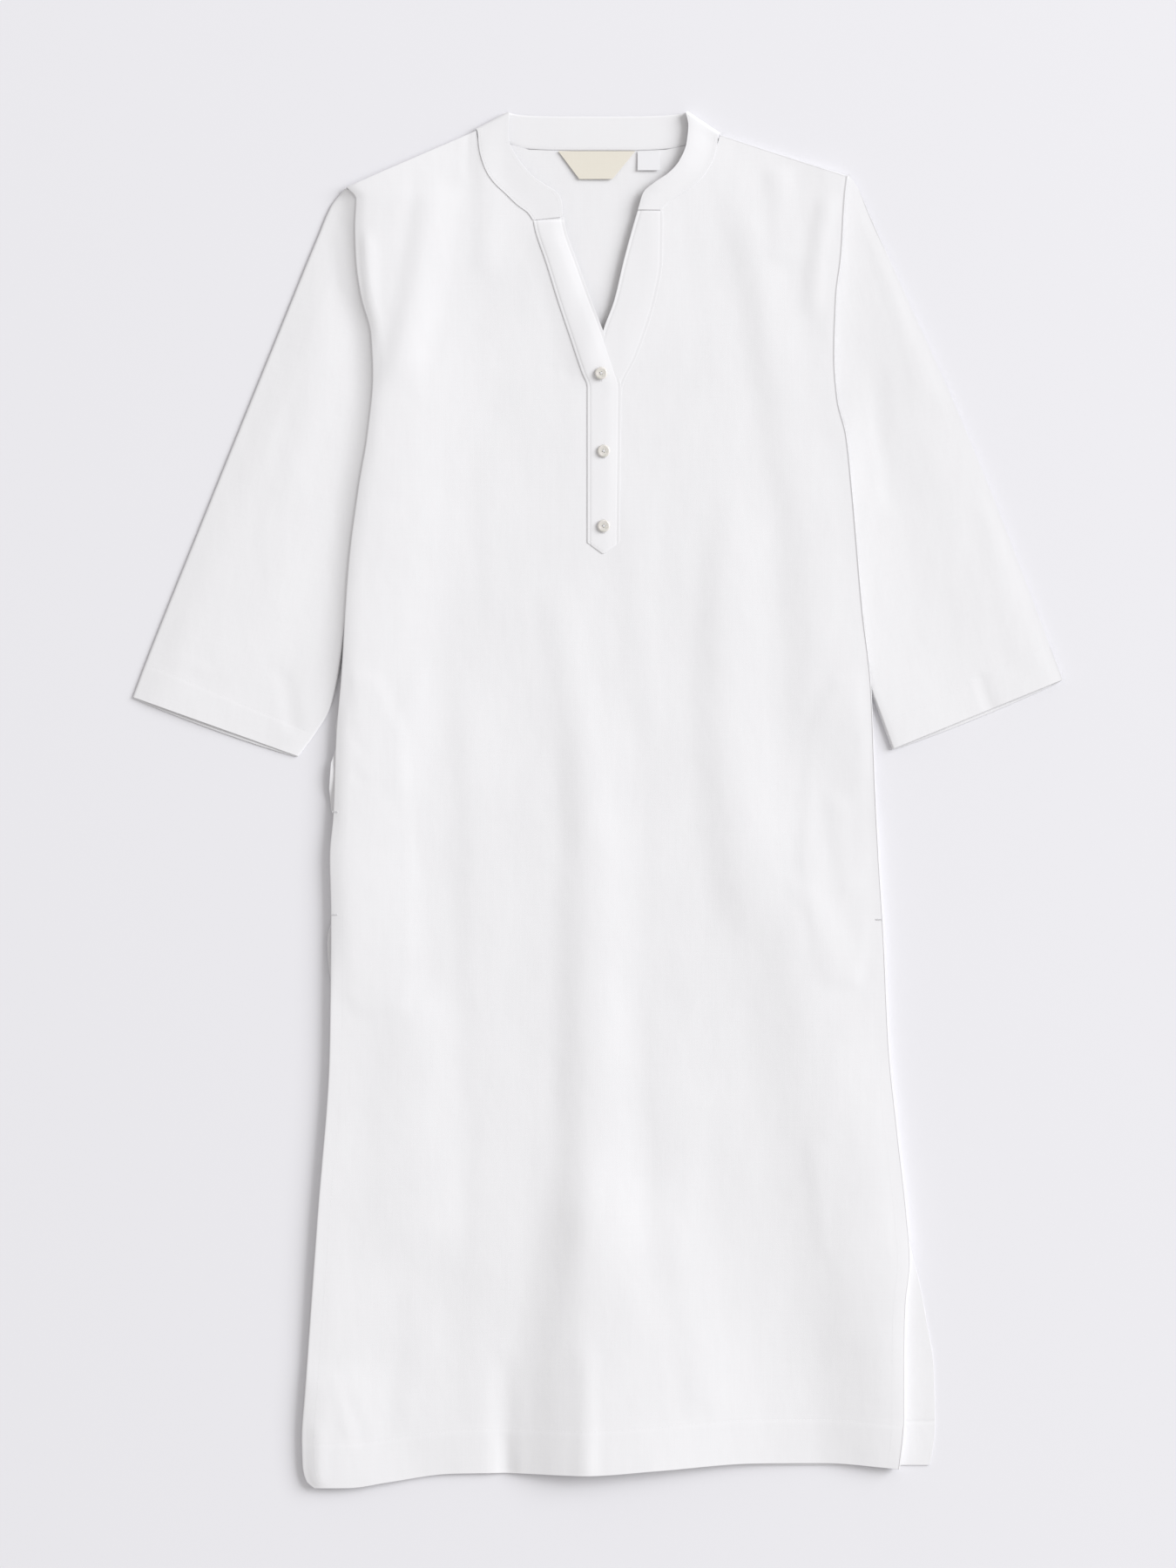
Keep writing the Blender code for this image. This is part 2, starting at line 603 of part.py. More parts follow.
def build_band(collection):
    """Neck band: a strip that is folded at the shoulders, with open ends in front."""
    stations = band_stations()
    marks = spaced(0.0, len(stations) - 1.0, 2 * len(stations) - 1)
    lines = []
    for share in spaced(0.0, 1.0, 4):
        points = [band_point(station, share) for station in stations]
        columns = [Curve([(i, point[axis]) for i, point in enumerate(points)])
                   for axis in range(3)]
        lines.append([place(*(column(mark) for column in columns)) for mark in marks])
    grid = [list(row) for row in zip(*lines)]
    return cloth_object("neck_band", grid, BAND_WALL, 0.0, collection)


def build_strip(name, rows, lift, point_depth, downs, collection):
    """Placket strip that follows the front's height, moved up by lift."""
    left, right = Curve(rows, 1), Curve(rows, 2)
    grid = []
    for down in downs:
        share_down = smooth((down - (rows[-1][0] - 40.0)) / 40.0)
        row = []
        for part in spaced(0.0, 1.0, 7):
            across = blend(left(down), right(down), part)
            low = down + point_depth * share_down * (1.0 - abs(2.0 * part - 1.0))
            row.append(place(across, low, front_rise(across, low) + lift))
        grid.append(row)
    return cloth_object(name, grid, CLOTH, -1.0, collection)


def build_plackets(collection):
    """The strip on top, which ends in a point, and the strip under it."""
    over_lift = CLOTH + STRIP_GAP
    over_downs = spaced(OVER_STRIP[0][0], OVER_STRIP[-1][0], 26)
    under_downs = spaced(UNDER_STRIP[0][0], UNDER_STRIP[-1][0], 22)
    return [
        build_strip("placket_over", OVER_STRIP, over_lift, OVER_POINT, over_downs, collection),
        build_strip("placket_under", UNDER_STRIP, 0.0, 0.0, under_downs, collection),
    ]


# Buttons

def button_mesh():
    """Half section of a button, from the middle of its dish down to its underside."""
    section = ((0.0, 1.3), (2.5, 1.35), (3.1, 1.9), (3.9, 2.2), (4.6, 1.95),
               (BUTTON_RADIUS, 1.2), (4.6, 0.4), (3.8, 0.0), (0.0, 0.0))
    mesh = bpy.data.meshes.new("button")
    corners = [(radius * MM, 0.0, rise * MM) for radius, rise in section]
    mesh.from_pydata(corners, [(i, i + 1) for i in range(len(corners) - 1)], [])
    return mesh


def hole_mesh():
    """Four pins that cut a button's holes."""
    shape = bmesh.new()
    for i in range(4):
        angle = math.radians(45 + 90 * i)
        pin = bmesh.ops.create_cone(shape, cap_ends=True, segments=8,
                                    radius1=BUTTON_HOLE * MM, radius2=BUTTON_HOLE * MM,
                                    depth=6.0 * MM)
        reach = BUTTON_HOLE_RING * MM
        shift = Vector((reach * math.cos(angle), reach * math.sin(angle), 0.0))
        bmesh.ops.translate(shape, verts=pin["verts"], vec=shift)
    mesh = bpy.data.meshes.new("button_holes")
    shape.to_mesh(mesh)
    shape.free()
    return mesh


def build_buttons(collection, cutters):
    """Three sewn buttons on the upper strip."""
    holes = hole_mesh()
    pieces = []
    for button in BUTTONS:
        piece = add_object(button.name, button_mesh(), collection, PEARL_WHITE, 0.35)
        ring = [(button.across + BUTTON_RADIUS * math.cos(a),
                 button.down + BUTTON_RADIUS * math.sin(a))
                for a in spaced(0.0, 2 * math.pi, 13)]
        seat = max(front_rise(*spot) for spot in ring + [(button.across, button.down)])
        seat += CLOTH + STRIP_GAP + LAY_GAP
        piece.location = place(button.across, button.down, seat)
        piece.rotation_euler.z = math.radians(button.turn)
        turn = piece.modifiers.new("Turned", "SCREW")
        turn.steps = turn.render_steps = 24
        turn.use_merge_vertices = True
        turn.merge_threshold = 0.00001
        turn.use_smooth_shade = True
        cutter = add_object(button.name + "_holes", holes, cutters, None, None)
        cutter.parent = piece
        cutter.hide_render = True
        cutter.display_type = "WIRE"
        cut = piece.modifiers.new("Holes", "BOOLEAN")
        cut.operation = "DIFFERENCE"
        cut.object = cutter
        pieces.append(piece)
    return pieces


def centring_shift(pieces):
    """Shift that puts the middle of the garment's underside on the origin."""
    bpy.context.view_layer.update()
    graph = bpy.context.evaluated_depsgraph_get()
    points = []
    for piece in pieces:
        evaluated = piece.evaluated_get(graph)
        points += [piece.matrix_world @ corner.co for corner in evaluated.to_mesh().vertices]
        evaluated.to_mesh_clear()
    middle = [(min(p[axis] for p in points) + max(p[axis] for p in points)) / 2.0
              for axis in (0, 1)]
    return Vector((-middle[0], -middle[1], 0.0))


def build_kurta():
    """All the pieces, under one empty at the middle of the garment's underside."""
    for old in list(bpy.data.objects):
        bpy.data.objects.remove(old, do_unlink=True)
    collection = bpy.data.collections.new("kurta")
    cutters = bpy.data.collections.new("kurta_cutters")
    bpy.context.scene.collection.children.link(collection)
    bpy.context.scene.collection.children.link(cutters)

    on_back = CLOTH + LAY_GAP
    pieces = [
        build_front(collection),
        build_back(collection),
        build_sleeve("sleeve_left", SLEEVE_LEFT, collection),
        build_sleeve("sleeve_right", SLEEVE_RIGHT, collection),
        build_band(collection),
        flat_object("pocket_left", POCKET_LEFT, on_back, POCKET_WALL, collection),
        flat_object("pocket_right", POCKET_RIGHT, on_back, POCKET_WALL, collection),
        flat_object("neck_label", NECK_LABEL, on_back, LABEL_WALL, collection, BEIGE_LABEL),
        flat_object("care_tab", CARE_TAB, on_back, LABEL_WALL, collection),
    ]
    pieces += build_plackets(collection)
    pieces += build_buttons(collection, cutters)

    root = bpy.data.objects.new("kurta_root", None)
    root.location = centring_shift(pieces)
    collection.objects.link(root)
    for piece in pieces:
        piece.parent = root


build_kurta()
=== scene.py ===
# %% [markdown]
# # White cotton kurta, laid flat
# The real garment is a straight cotton tunic with a split neck band, a buttoned placket,
# three-quarter sleeves, side slits and pockets in the side seams. It lies on its back on a
# pale table and is seen from straight above.
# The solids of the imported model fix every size. This lesson lays a thin sheet of cloth on
# each of them and adds what a solid leaves out: creases, hems, stitches, weave and light.

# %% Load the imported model
import math

import bpy
import numpy as np
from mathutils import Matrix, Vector


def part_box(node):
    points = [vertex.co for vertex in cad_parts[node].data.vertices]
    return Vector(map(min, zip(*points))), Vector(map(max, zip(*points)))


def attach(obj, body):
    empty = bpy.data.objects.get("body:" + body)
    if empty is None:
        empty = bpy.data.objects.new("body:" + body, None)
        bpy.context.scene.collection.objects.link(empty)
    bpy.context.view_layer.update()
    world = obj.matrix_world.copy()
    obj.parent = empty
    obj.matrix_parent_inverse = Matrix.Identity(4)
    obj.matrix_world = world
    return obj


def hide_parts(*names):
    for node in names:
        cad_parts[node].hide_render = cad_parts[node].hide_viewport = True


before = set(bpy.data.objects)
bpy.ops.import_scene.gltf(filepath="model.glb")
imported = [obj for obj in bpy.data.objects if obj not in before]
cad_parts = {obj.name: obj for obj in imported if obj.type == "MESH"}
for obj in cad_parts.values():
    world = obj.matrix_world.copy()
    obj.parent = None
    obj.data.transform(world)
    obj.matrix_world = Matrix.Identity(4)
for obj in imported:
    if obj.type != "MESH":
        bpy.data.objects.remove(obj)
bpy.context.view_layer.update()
print("solids:", ", ".join(sorted(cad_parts)))

# %% [markdown]
# ## One plan for all pieces
# A tailor draws the pieces on paper before cutting them. Here the paper has millimetres
# "across" from the centre front, and "down" from the top of the neck band, and "rise" is
# the height above the table. The lowest button shows where the paper lies in the frame,
# because its middle is 0 across and 333.9 down. Numpy arrays are used all the way, so one
# line of code works out thousands of points.

# %% Put the plan on the table
MM = 0.001
LOWEST_BUTTON = 333.9
button_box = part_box("button_bottom")
PLAN_X = (button_box[0].x + button_box[1].x) / 2
PLAN_Y = (button_box[0].y + button_box[1].y) / 2 + LOWEST_BUTTON * MM


def place(across, down, rise):
    """Points in the frame, in metres, from places on the plan."""
    return np.stack(np.broadcast_arrays(PLAN_X + across * MM, PLAN_Y - down * MM, rise * MM),
                    axis=-1)


print("plan origin:", round(PLAN_X, 5), round(PLAN_Y, 5))

# %% [markdown]
# ## Camera
# The photo was taken from straight above, with the picture's height covering 1.26 m of
# table. A long lens at 3 m keeps the sleeves free of perspective, as in the photo.

# %% Camera
VIEW_TALL = 1.26
LENS = 85.0
SENSOR = 36.0
VIEW_MIDDLE = (-0.00775, 0.0123)
CLOTH_TOP = 0.005
camera = bpy.data.objects.new("overhead_camera", bpy.data.cameras.new("overhead_camera"))
camera.data.lens = LENS
camera.data.sensor_width = SENSOR
camera.data.clip_end = 20.0
camera.location = (*VIEW_MIDDLE, VIEW_TALL * LENS / SENSOR + CLOTH_TOP)
bpy.context.scene.collection.objects.link(camera)
bpy.context.scene.camera = camera
print("camera height:", round(camera.location.z, 3), "m")

# %% [markdown]
# ## Table and studio light
# The table is plain pale board, a little cooler than the cloth. One large soft box stands
# at the right and shines low over the cloth, because white folds on white only show where
# light grazes them. A bright room fills the shadows. The standard view transform keeps
# the pale tones as bright as a product photo has them.

# %% Table and light
TABLE_WIDE = 60.0
TABLE_AT = -0.0004
KEY_AT = Vector((14.96, 6.61, 10.08))
KEY_SIZE = 12.0
KEY_POWER = 4000.0
ROOM_LIGHT = 0.55


def new_mesh(name, points, faces):
    """Mesh from point and face lists, shaded smooth."""
    mesh = bpy.data.meshes.new(name)
    mesh.from_pydata(np.asarray(points).tolist(), [], [list(face) for face in faces])
    mesh.shade_smooth()
    return mesh


def add_object(name, data):
    """Put data in the scene as a new object."""
    thing = bpy.data.objects.new(name, data)
    bpy.context.scene.collection.objects.link(thing)
    return thing


half = TABLE_WIDE / 2
corners = [(x, y, TABLE_AT)
           for x, y in ((-half, -half), (half, -half), (half, half), (-half, half))]
table = add_object("table", new_mesh("table", corners, [(0, 1, 2, 3)]))

key = add_object("key_light", bpy.data.lights.new("key_light", "AREA"))
key.data.shape = "SQUARE"
key.data.size = KEY_SIZE
key.data.energy = KEY_POWER
key.data.color = (0.97, 0.98, 1.0)
key.location = KEY_AT
key.rotation_euler = (-KEY_AT).to_track_quat("-Z", "Y").to_euler()

room = bpy.data.worlds.new("bright_room")
room.use_nodes = True
room.node_tree.nodes["Background"].inputs["Color"].default_value = (1.0, 0.98, 0.975, 1.0)
room.node_tree.nodes["Background"].inputs["Strength"].default_value = ROOM_LIGHT
bpy.context.scene.world = room
bpy.context.scene.view_settings.view_transform = "Standard"
print("key light", KEY_POWER, "W, room", ROOM_LIGHT)

# %% [markdown]
# ## Finishes
# All the cloth is plain-woven cotton: threads go over and under each other in turn, some
# threads are thicker than others, and washing leaves a faint crumple. Several materials
# need that, so the weave and the crumple are shader node groups with named inputs. Each
# material then sets its own thread size and direction. Groups only give out values that
# change over the surface, and the shader itself stays in the material.

# %% Node helpers


def new_group(name, inputs, outputs):
    """Empty shader group with float inputs, given with their usual values."""
    group = bpy.data.node_groups.new(name, "ShaderNodeTree")
    for label, value in inputs:
        socket = group.interface.new_socket(label, in_out="INPUT", socket_type="NodeSocketFloat")
        socket.default_value = value
    for label in outputs:
        group.interface.new_socket(label, in_out="OUTPUT", socket_type="NodeSocketFloat")
    return group, group.nodes.new("NodeGroupInput"), group.nodes.new("NodeGroupOutput")


def add_node(tree, kind, links=None, **settings):
    """Node with settings, and with its inputs linked to sockets or set to values."""
    node = tree.nodes.new(kind)
    for key_name, value in settings.items():
        setattr(node, key_name, value)
    for socket, source in (links or {}).items():
        if isinstance(source, bpy.types.NodeSocket):
            tree.links.new(source, node.inputs[socket])
        else:
            node.inputs[socket].default_value = source
    return node


def calc(tree, operation, first, second=0.0):
    """Output of a Math node."""
    return add_node(tree, "ShaderNodeMath", {0: first, 1: second}, operation=operation).outputs[0]


print("node helpers:", new_group.__name__, add_node.__name__, calc.__name__)


# %% Weave and crumple groups
def weave_group():
    """Plain weave: Height of the threads, and Tone of thick and thin threads."""
    group, given, result = new_group(
        "plain weave", (("Thread", 0.00036), ("Turn", 0.0), ("Slub", 0.5)), ("Height", "Tone"))
    where = add_node(group, "ShaderNodeTexCoord").outputs["Object"]
    turned = add_node(group, "ShaderNodeVectorRotate",
                      {"Vector": where, "Angle": given.outputs["Turn"]},
                      rotation_type="Z_AXIS").outputs["Vector"]
    split = add_node(group, "ShaderNodeSeparateXYZ", {0: turned}).outputs
    waves = []
    for axis in ("X", "Y"):
        turns = calc(group, "DIVIDE", calc(group, "MULTIPLY", split[axis], math.pi),
                     given.outputs["Thread"])
        waves.append(calc(group, "SINE", turns))
    crossing = calc(group, "MULTIPLY", waves[0], waves[1])
    streaks = []
    for stretch in ((2600.0, 46.0, 46.0), (46.0, 2600.0, 46.0)):
        scaled = add_node(group, "ShaderNodeVectorMath", {0: turned, 1: stretch},
                          operation="MULTIPLY").outputs[0]
        noise = add_node(group, "ShaderNodeTexNoise", {"Vector": scaled, "Scale": 0.35,
                                                       "Detail": 2.0})
        streaks.append(calc(group, "SUBTRACT", noise.outputs[0], 0.5))
    slub = calc(group, "MULTIPLY", calc(group, "ADD", streaks[0], streaks[1]),
                given.outputs["Slub"])
    height = calc(group, "ADD", calc(group, "MULTIPLY", crossing, 0.5), slub)
    group.links.new(height, result.inputs["Height"])
    group.links.new(slub, result.inputs["Tone"])
    return group


def crumple_group():
    """Soft washed crumple: Height of small dents, and Tone of broad faint clouds."""
    group, given, result = new_group(
        "washed crumple", (("Size", 0.02), ("Depth", 1.0)), ("Height", "Tone"))
    where = add_node(group, "ShaderNodeTexCoord").outputs["Object"]
    grain = calc(group, "DIVIDE", 1.0, given.outputs["Size"])
    long_dents = add_node(group, "ShaderNodeVectorMath", {0: where, 1: (1.0, 0.45, 1.0)},
                          operation="MULTIPLY").outputs[0]
    fine = add_node(group, "ShaderNodeTexNoise", {"Vector": long_dents, "Scale": grain,
                                                  "Detail": 3.0, "Roughness": 0.45})
    broad = add_node(group, "ShaderNodeTexNoise",
                     {"Vector": where, "Scale": calc(group, "MULTIPLY", grain, 0.22)})
    height = calc(group, "MULTIPLY", calc(group, "SUBTRACT", fine.outputs[0], 0.5),
                  given.outputs["Depth"])
    group.links.new(height, result.inputs["Height"])
    group.links.new(calc(group, "SUBTRACT", broad.outputs[0], 0.5), result.inputs["Tone"])
    return group


WEAVE = weave_group()
CRUMPLE = crumple_group()
print("groups:", WEAVE.name, "and", CRUMPLE.name)


# %% Cotton, thread, label and pearl
def plain_material(name, roughness):
    """Material with its Principled shader."""
    material = bpy.data.materials.new(name)
    material.use_nodes = True
    shader = material.node_tree.nodes["Principled BSDF"]
    shader.inputs["Roughness"].default_value = roughness
    return material, material.node_tree, shader


def cloth_material(name, dark, pale, thread, turn=0.0, slub=0.5, dent=0.00035, sheen=0.12,
                   roughness=0.88):
    """Woven cloth: tone and roughness from the threads, bump from threads and crumple."""
    material, tree, shader = plain_material(name, roughness)
    weave = add_node(tree, "ShaderNodeGroup", node_tree=WEAVE)
    for label, value in (("Thread", thread), ("Turn", turn), ("Slub", slub)):
        weave.inputs[label].default_value = value
    crumple = add_node(tree, "ShaderNodeGroup", node_tree=CRUMPLE)
    tone = calc(tree, "ADD", calc(tree, "MULTIPLY", weave.outputs["Tone"], 0.6),
                crumple.outputs["Tone"])
    share = add_node(tree, "ShaderNodeMapRange", {"Value": tone, "From Min": -0.35,
                                                  "From Max": 0.35}).outputs[0]
    colour = tree.nodes.new("ShaderNodeMix")
    colour.data_type = "RGBA"
    tree.links.new(share, colour.inputs[0])
    colour.inputs[6].default_value = (*dark, 1.0)
    colour.inputs[7].default_value = (*pale, 1.0)
    tree.links.new(colour.outputs[2], shader.inputs["Base Color"])
    rough = add_node(tree, "ShaderNodeMapRange",
                     {"Value": weave.outputs["Height"], "From Min": -0.6, "From Max": 0.6,
                      "To Min": roughness + 0.06, "To Max": roughness - 0.06}).outputs[0]
    tree.links.new(rough, shader.inputs["Roughness"])
    dents = add_node(tree, "ShaderNodeBump", {"Height": crumple.outputs["Height"],
                                              "Distance": dent, "Strength": 1.0})
    threads = add_node(tree, "ShaderNodeBump",
                       {"Height": weave.outputs["Height"], "Distance": thread * 0.16,
                        "Strength": 0.6, "Normal": dents.outputs[0]})
    tree.links.new(threads.outputs[0], shader.inputs["Normal"])
    shader.inputs["Sheen Weight"].default_value = sheen
    shader.inputs["Sheen Roughness"].default_value = 0.5
    shader.inputs["Specular IOR Level"].default_value = 0.25
    return material


def pearl_material():
    """Shell button: cloudy bands of warm grey, rose and green under a clear polish."""
    material, tree, shader = plain_material("pearl", 0.3)
    where = add_node(tree, "ShaderNodeTexCoord").outputs["Object"]
    bands = add_node(tree, "ShaderNodeTexNoise", {"Vector": where, "Scale": 260.0,
                                                  "Detail": 2.0, "Distortion": 1.6})
    ramp = add_node(tree, "ShaderNodeValToRGB", {"Fac": bands.outputs[0]})
    stops = ((0.32, (0.62, 0.61, 0.55)), (0.46, (0.70, 0.685, 0.63)), (0.55, (0.72, 0.675, 0.64)),
             (0.68, (0.80, 0.785, 0.735)))
    ramp.color_ramp.elements.remove(ramp.color_ramp.elements[1])
    ramp.color_ramp.elements[0].position = stops[0][0]
    ramp.color_ramp.elements[0].color = (*stops[0][1], 1.0)
    for position, colour in stops[1:]:
        ramp.color_ramp.elements.new(position).color = (*colour, 1.0)
    tree.links.new(ramp.outputs["Color"], shader.inputs["Base Color"])
    rough = add_node(tree, "ShaderNodeMapRange", {"Value": bands.outputs[0], "To Min": 0.2,
                                                  "To Max": 0.42}).outputs[0]
    tree.links.new(rough, shader.inputs["Roughness"])
    dents = add_node(tree, "ShaderNodeBump", {"Height": bands.outputs[0],
                                              "Distance": 0.0001, "Strength": 0.5})
    tree.links.new(dents.outputs[0], shader.inputs["Normal"])
    shader.inputs["Coat Weight"].default_value = 0.6
    shader.inputs["Coat Roughness"].default_value = 0.12
    return material


WHITE_DARK, WHITE_PALE = (0.808, 0.805, 0.816), (0.842, 0.839, 0.85)
SLEEVE_TURN, COTTON_THREAD = 0.27, 0.00036
cotton = cloth_material("white_cotton", WHITE_DARK, WHITE_PALE, COTTON_THREAD)
cotton_left, cotton_right = (
    cloth_material(f"white_cotton_{side}_sleeve", WHITE_DARK, WHITE_PALE, COTTON_THREAD, turn)
    for side, turn in (("left", SLEEVE_TURN), ("right", -SLEEVE_TURN)))
cotton_band = cloth_material("white_cotton_interfaced", WHITE_DARK, WHITE_PALE, 0.00032,
                             0.0, 0.35, 0.00012)
thread_white = cloth_material("white_thread", (0.79, 0.788, 0.80), (0.84, 0.838, 0.845), 0.00012,
                              0.6, 0.2, 0.00004, 0.2, 0.7)
label_satin = cloth_material("beige_label", (0.745, 0.705, 0.615), (0.805, 0.77, 0.68), 0.00018,
                             0.0, 0.25, 0.00006, 0.25, 0.6)
tab_satin = cloth_material("white_tab", (0.80, 0.80, 0.815), (0.83, 0.83, 0.845), 0.00018,
                           0.0, 0.2, 0.00006, 0.3, 0.55)
pearl = pearl_material()

table_paint, table_tree, table_shader = plain_material("pale_table", 0.75)
table_grain = add_node(table_tree, "ShaderNodeTexNoise", {"Scale": 420.0, "Detail": 2.0})
table_bump = add_node(table_tree, "ShaderNodeBump", {"Height": table_grain.outputs[0],
                                                     "Distance": 0.00005, "Strength": 0.3})
table_tree.links.new(table_bump.outputs[0], table_shader.inputs["Normal"])
table_shader.inputs["Base Color"].default_value = (0.80, 0.796, 0.822, 1.0)
table_shader.inputs["Specular IOR Level"].default_value = 0.2
table.data.materials.append(table_paint)
print("materials:", len(bpy.data.materials))

# %% [markdown]
# ## Lines through short tables
# A pattern cutter marks a few points and joins them with a smooth curve. Curve does that
# for one number against another, and never swings past its points. Line does it for a
# line on the plan. The tables that follow say where each seam, edge and fold of the
# garment lies, in the same numbers that its solids were made from.


# %% Curves
def smooth(value):
    """Ease from 0 to 1 as the value goes from 0 to 1."""
    value = np.clip(value, 0.0, 1.0)
    return value * value * (3.0 - 2.0 * value)


def blend(first, second, share):
    """Value a share of the way from the first to the second."""
    return first + (second - first) * share


def bump(offset, steep, easy):
    """Soft ridge of height 1, steep wide on its left and easy wide on its right."""
    reach = np.abs(offset) / np.where(offset < 0, steep, easy)
    return 0.5 * (1.0 + np.cos(np.pi * np.minimum(reach, 1.0)))


def quarter(distance, width):
    """Quarter ellipse, 0 at an edge and 1 from a width inside it."""
    share = np.clip(distance / width, 0.0, 1.0)
    return np.sqrt(1.0 - (1.0 - share) ** 2)


class Curve:
    """Smooth line through the rows of a table, read at values of its first column."""

    def __init__(self, rows, column=1):
        self.at = np.array([row[0] for row in rows], float)
        self.value = np.array([row[column] for row in rows], float)
        step = np.diff(self.value) / np.diff(self.at)
        before, after = step[:-1], step[1:]
        rising = before * after > 0.0
        total = np.where(rising, before + after, 1.0)
        inner = np.where(rising, 2.0 * before * after / total, 0.0)
        self.slope = np.concatenate([step[:1], inner, step[-1:]])

    def __call__(self, place_at):
        place_at = np.clip(place_at, self.at[0], self.at[-1])
        i = np.clip(np.searchsorted(self.at, place_at, "right"), 1, len(self.at) - 1) - 1
        length = self.at[i + 1] - self.at[i]
        t = (place_at - self.at[i]) / length
        near = self.value[i] * (1 + 2 * t) + self.slope[i] * length * t
        far = self.value[i + 1] * (3 - 2 * t) - self.slope[i + 1] * length * (1 - t)
        return near * (1 - t) ** 2 + far * t * t


class Line:
    """Smooth plan line through points, read at shares of its length."""

    def __init__(self, points):
        points = np.array(points, float)
        run = np.concatenate([[0.0], np.cumsum(np.hypot(*np.diff(points, axis=0).T))])
        self.long = run[-1]
        self.across = Curve(np.column_stack([run / run[-1], points[:, 0]]))
        self.down = Curve(np.column_stack([run / run[-1], points[:, 1]]))

    def __call__(self, share):
        return np.stack([self.across(share), self.down(share)], axis=-1)


print("halfway between 10 and 30:", blend(10.0, 30.0, float(smooth(0.5))))


# %% Seams and edges of the body
TUCK, FLOOR = 4.0, 1.95   # height of a pressed edge that lies on a sleeve, or on the back
LEFT_SIDE = (             # down, across, height of the edge, how firmly it is held
    (62, -206.5, TUCK, 1), (71, -199, TUCK, 1), (93, -200, TUCK, 1), (121, -199, TUCK, 1),
    (149, -195, TUCK, 1), (180, -187, TUCK, 1), (212, -185.5, TUCK, 1), (261, -190, TUCK, 1),
    (303, -197, TUCK, 1), (366, -205, TUCK, 1), (457, -211, TUCK, 1), (506, -215, TUCK, 1),
    (564, -217, TUCK, 1), (600, -220, FLOOR, 1), (646, -219, FLOOR, 1), (751, -220, FLOOR, 1),
    (891, -230, FLOOR, 1), (1031, -240, FLOOR, 1), (1066, -242.5, FLOOR, 0.8),
    (1088, -242, FLOOR, 0.5), (1101, -239, FLOOR, 0.2), (1107, -232, FLOOR, 0))
RIGHT_SIDE = (
    (53, 196, TUCK, 1), (69, 194, TUCK, 1), (117, 191, TUCK, 1), (150, 187, TUCK, 1),
    (198, 185.5, TUCK, 1), (232, 188, TUCK, 1), (261, 195, TUCK, 1), (303, 199.5, TUCK, 1),
    (401, 208, TUCK, 1), (464, 215, TUCK, 1), (541, 218, TUCK, 1), (600, 221, FLOOR, 1),
    (664, 225, FLOOR, 1), (751, 229, FLOOR, 1), (821, 236, FLOOR, 1), (884, 243, FLOOR, 1),
    (925, 246, FLOOR, 1), (960, 242.5, FLOOR, 0.7), (1003, 241.5, FLOOR, 0.4),
    (1054, 241.5, FLOOR, 0.15), (1091, 238, FLOOR, 0))
FRONT_HEM = ((-232, 1106.6), (-205, 1106.5), (-170, 1102.5), (-114, 1095.5), (-75, 1095),
             (-9, 1095.5), (47, 1092), (124, 1087), (180, 1087), (238, 1091))
NECK_LEFT = ((16, -101.5), (30, -100), (42, -97), (51, -93), (59, -87), (66.5, -79),
             (76, -69), (82, -61), (88, -56.7))
NECK_RIGHT = ((19.6, 92.4), (37, 88.9), (53, 79.8), (62, 70.5), (68, 61), (73, 53), (80, 46))
SLOT_DOWN = 343.0
SLOT_LEFT = ((88, -56.7), (96, -50), (121, -41.9), (153, -32), (184, -21.6), (211, -12.5),
             (222, -9.5), (SLOT_DOWN, -9.5))
SLOT_RIGHT = ((80, 46), (121, 45.5), (163, 37), (191, 27), (219, 14.5), (245, 11.2),
              (SLOT_DOWN, 11))
BODY_RISE = ((0, 4.6), (120, 5.2), (900, 5.4), (1000, 4.4), (1110, 3.3))

left_edge, left_seat, left_hold = (Curve(LEFT_SIDE, i) for i in (1, 2, 3))
right_edge, right_seat, right_hold = (Curve(RIGHT_SIDE, i) for i in (1, 2, 3))
front_hem, body_rise = Curve(FRONT_HEM), Curve(BODY_RISE)
neck_left, neck_right = Curve(NECK_LEFT), Curve(NECK_RIGHT)
print("body width at the chest:", float(right_edge(261) - left_edge(261)), "mm")

# %% [markdown]
# ## Folds and creases
# Cotton that was ironed and then laid out keeps long soft folds, which run down from the
# neck, the chest and the pockets. Each fold is one row of a table: a ridge between two
# places, steep on its left and easy on its right, since the cloth leans over to the left.
# The first table is the one of the solids. The second adds the small creases that only
# a thin sheet can show, with troughs as negative heights.

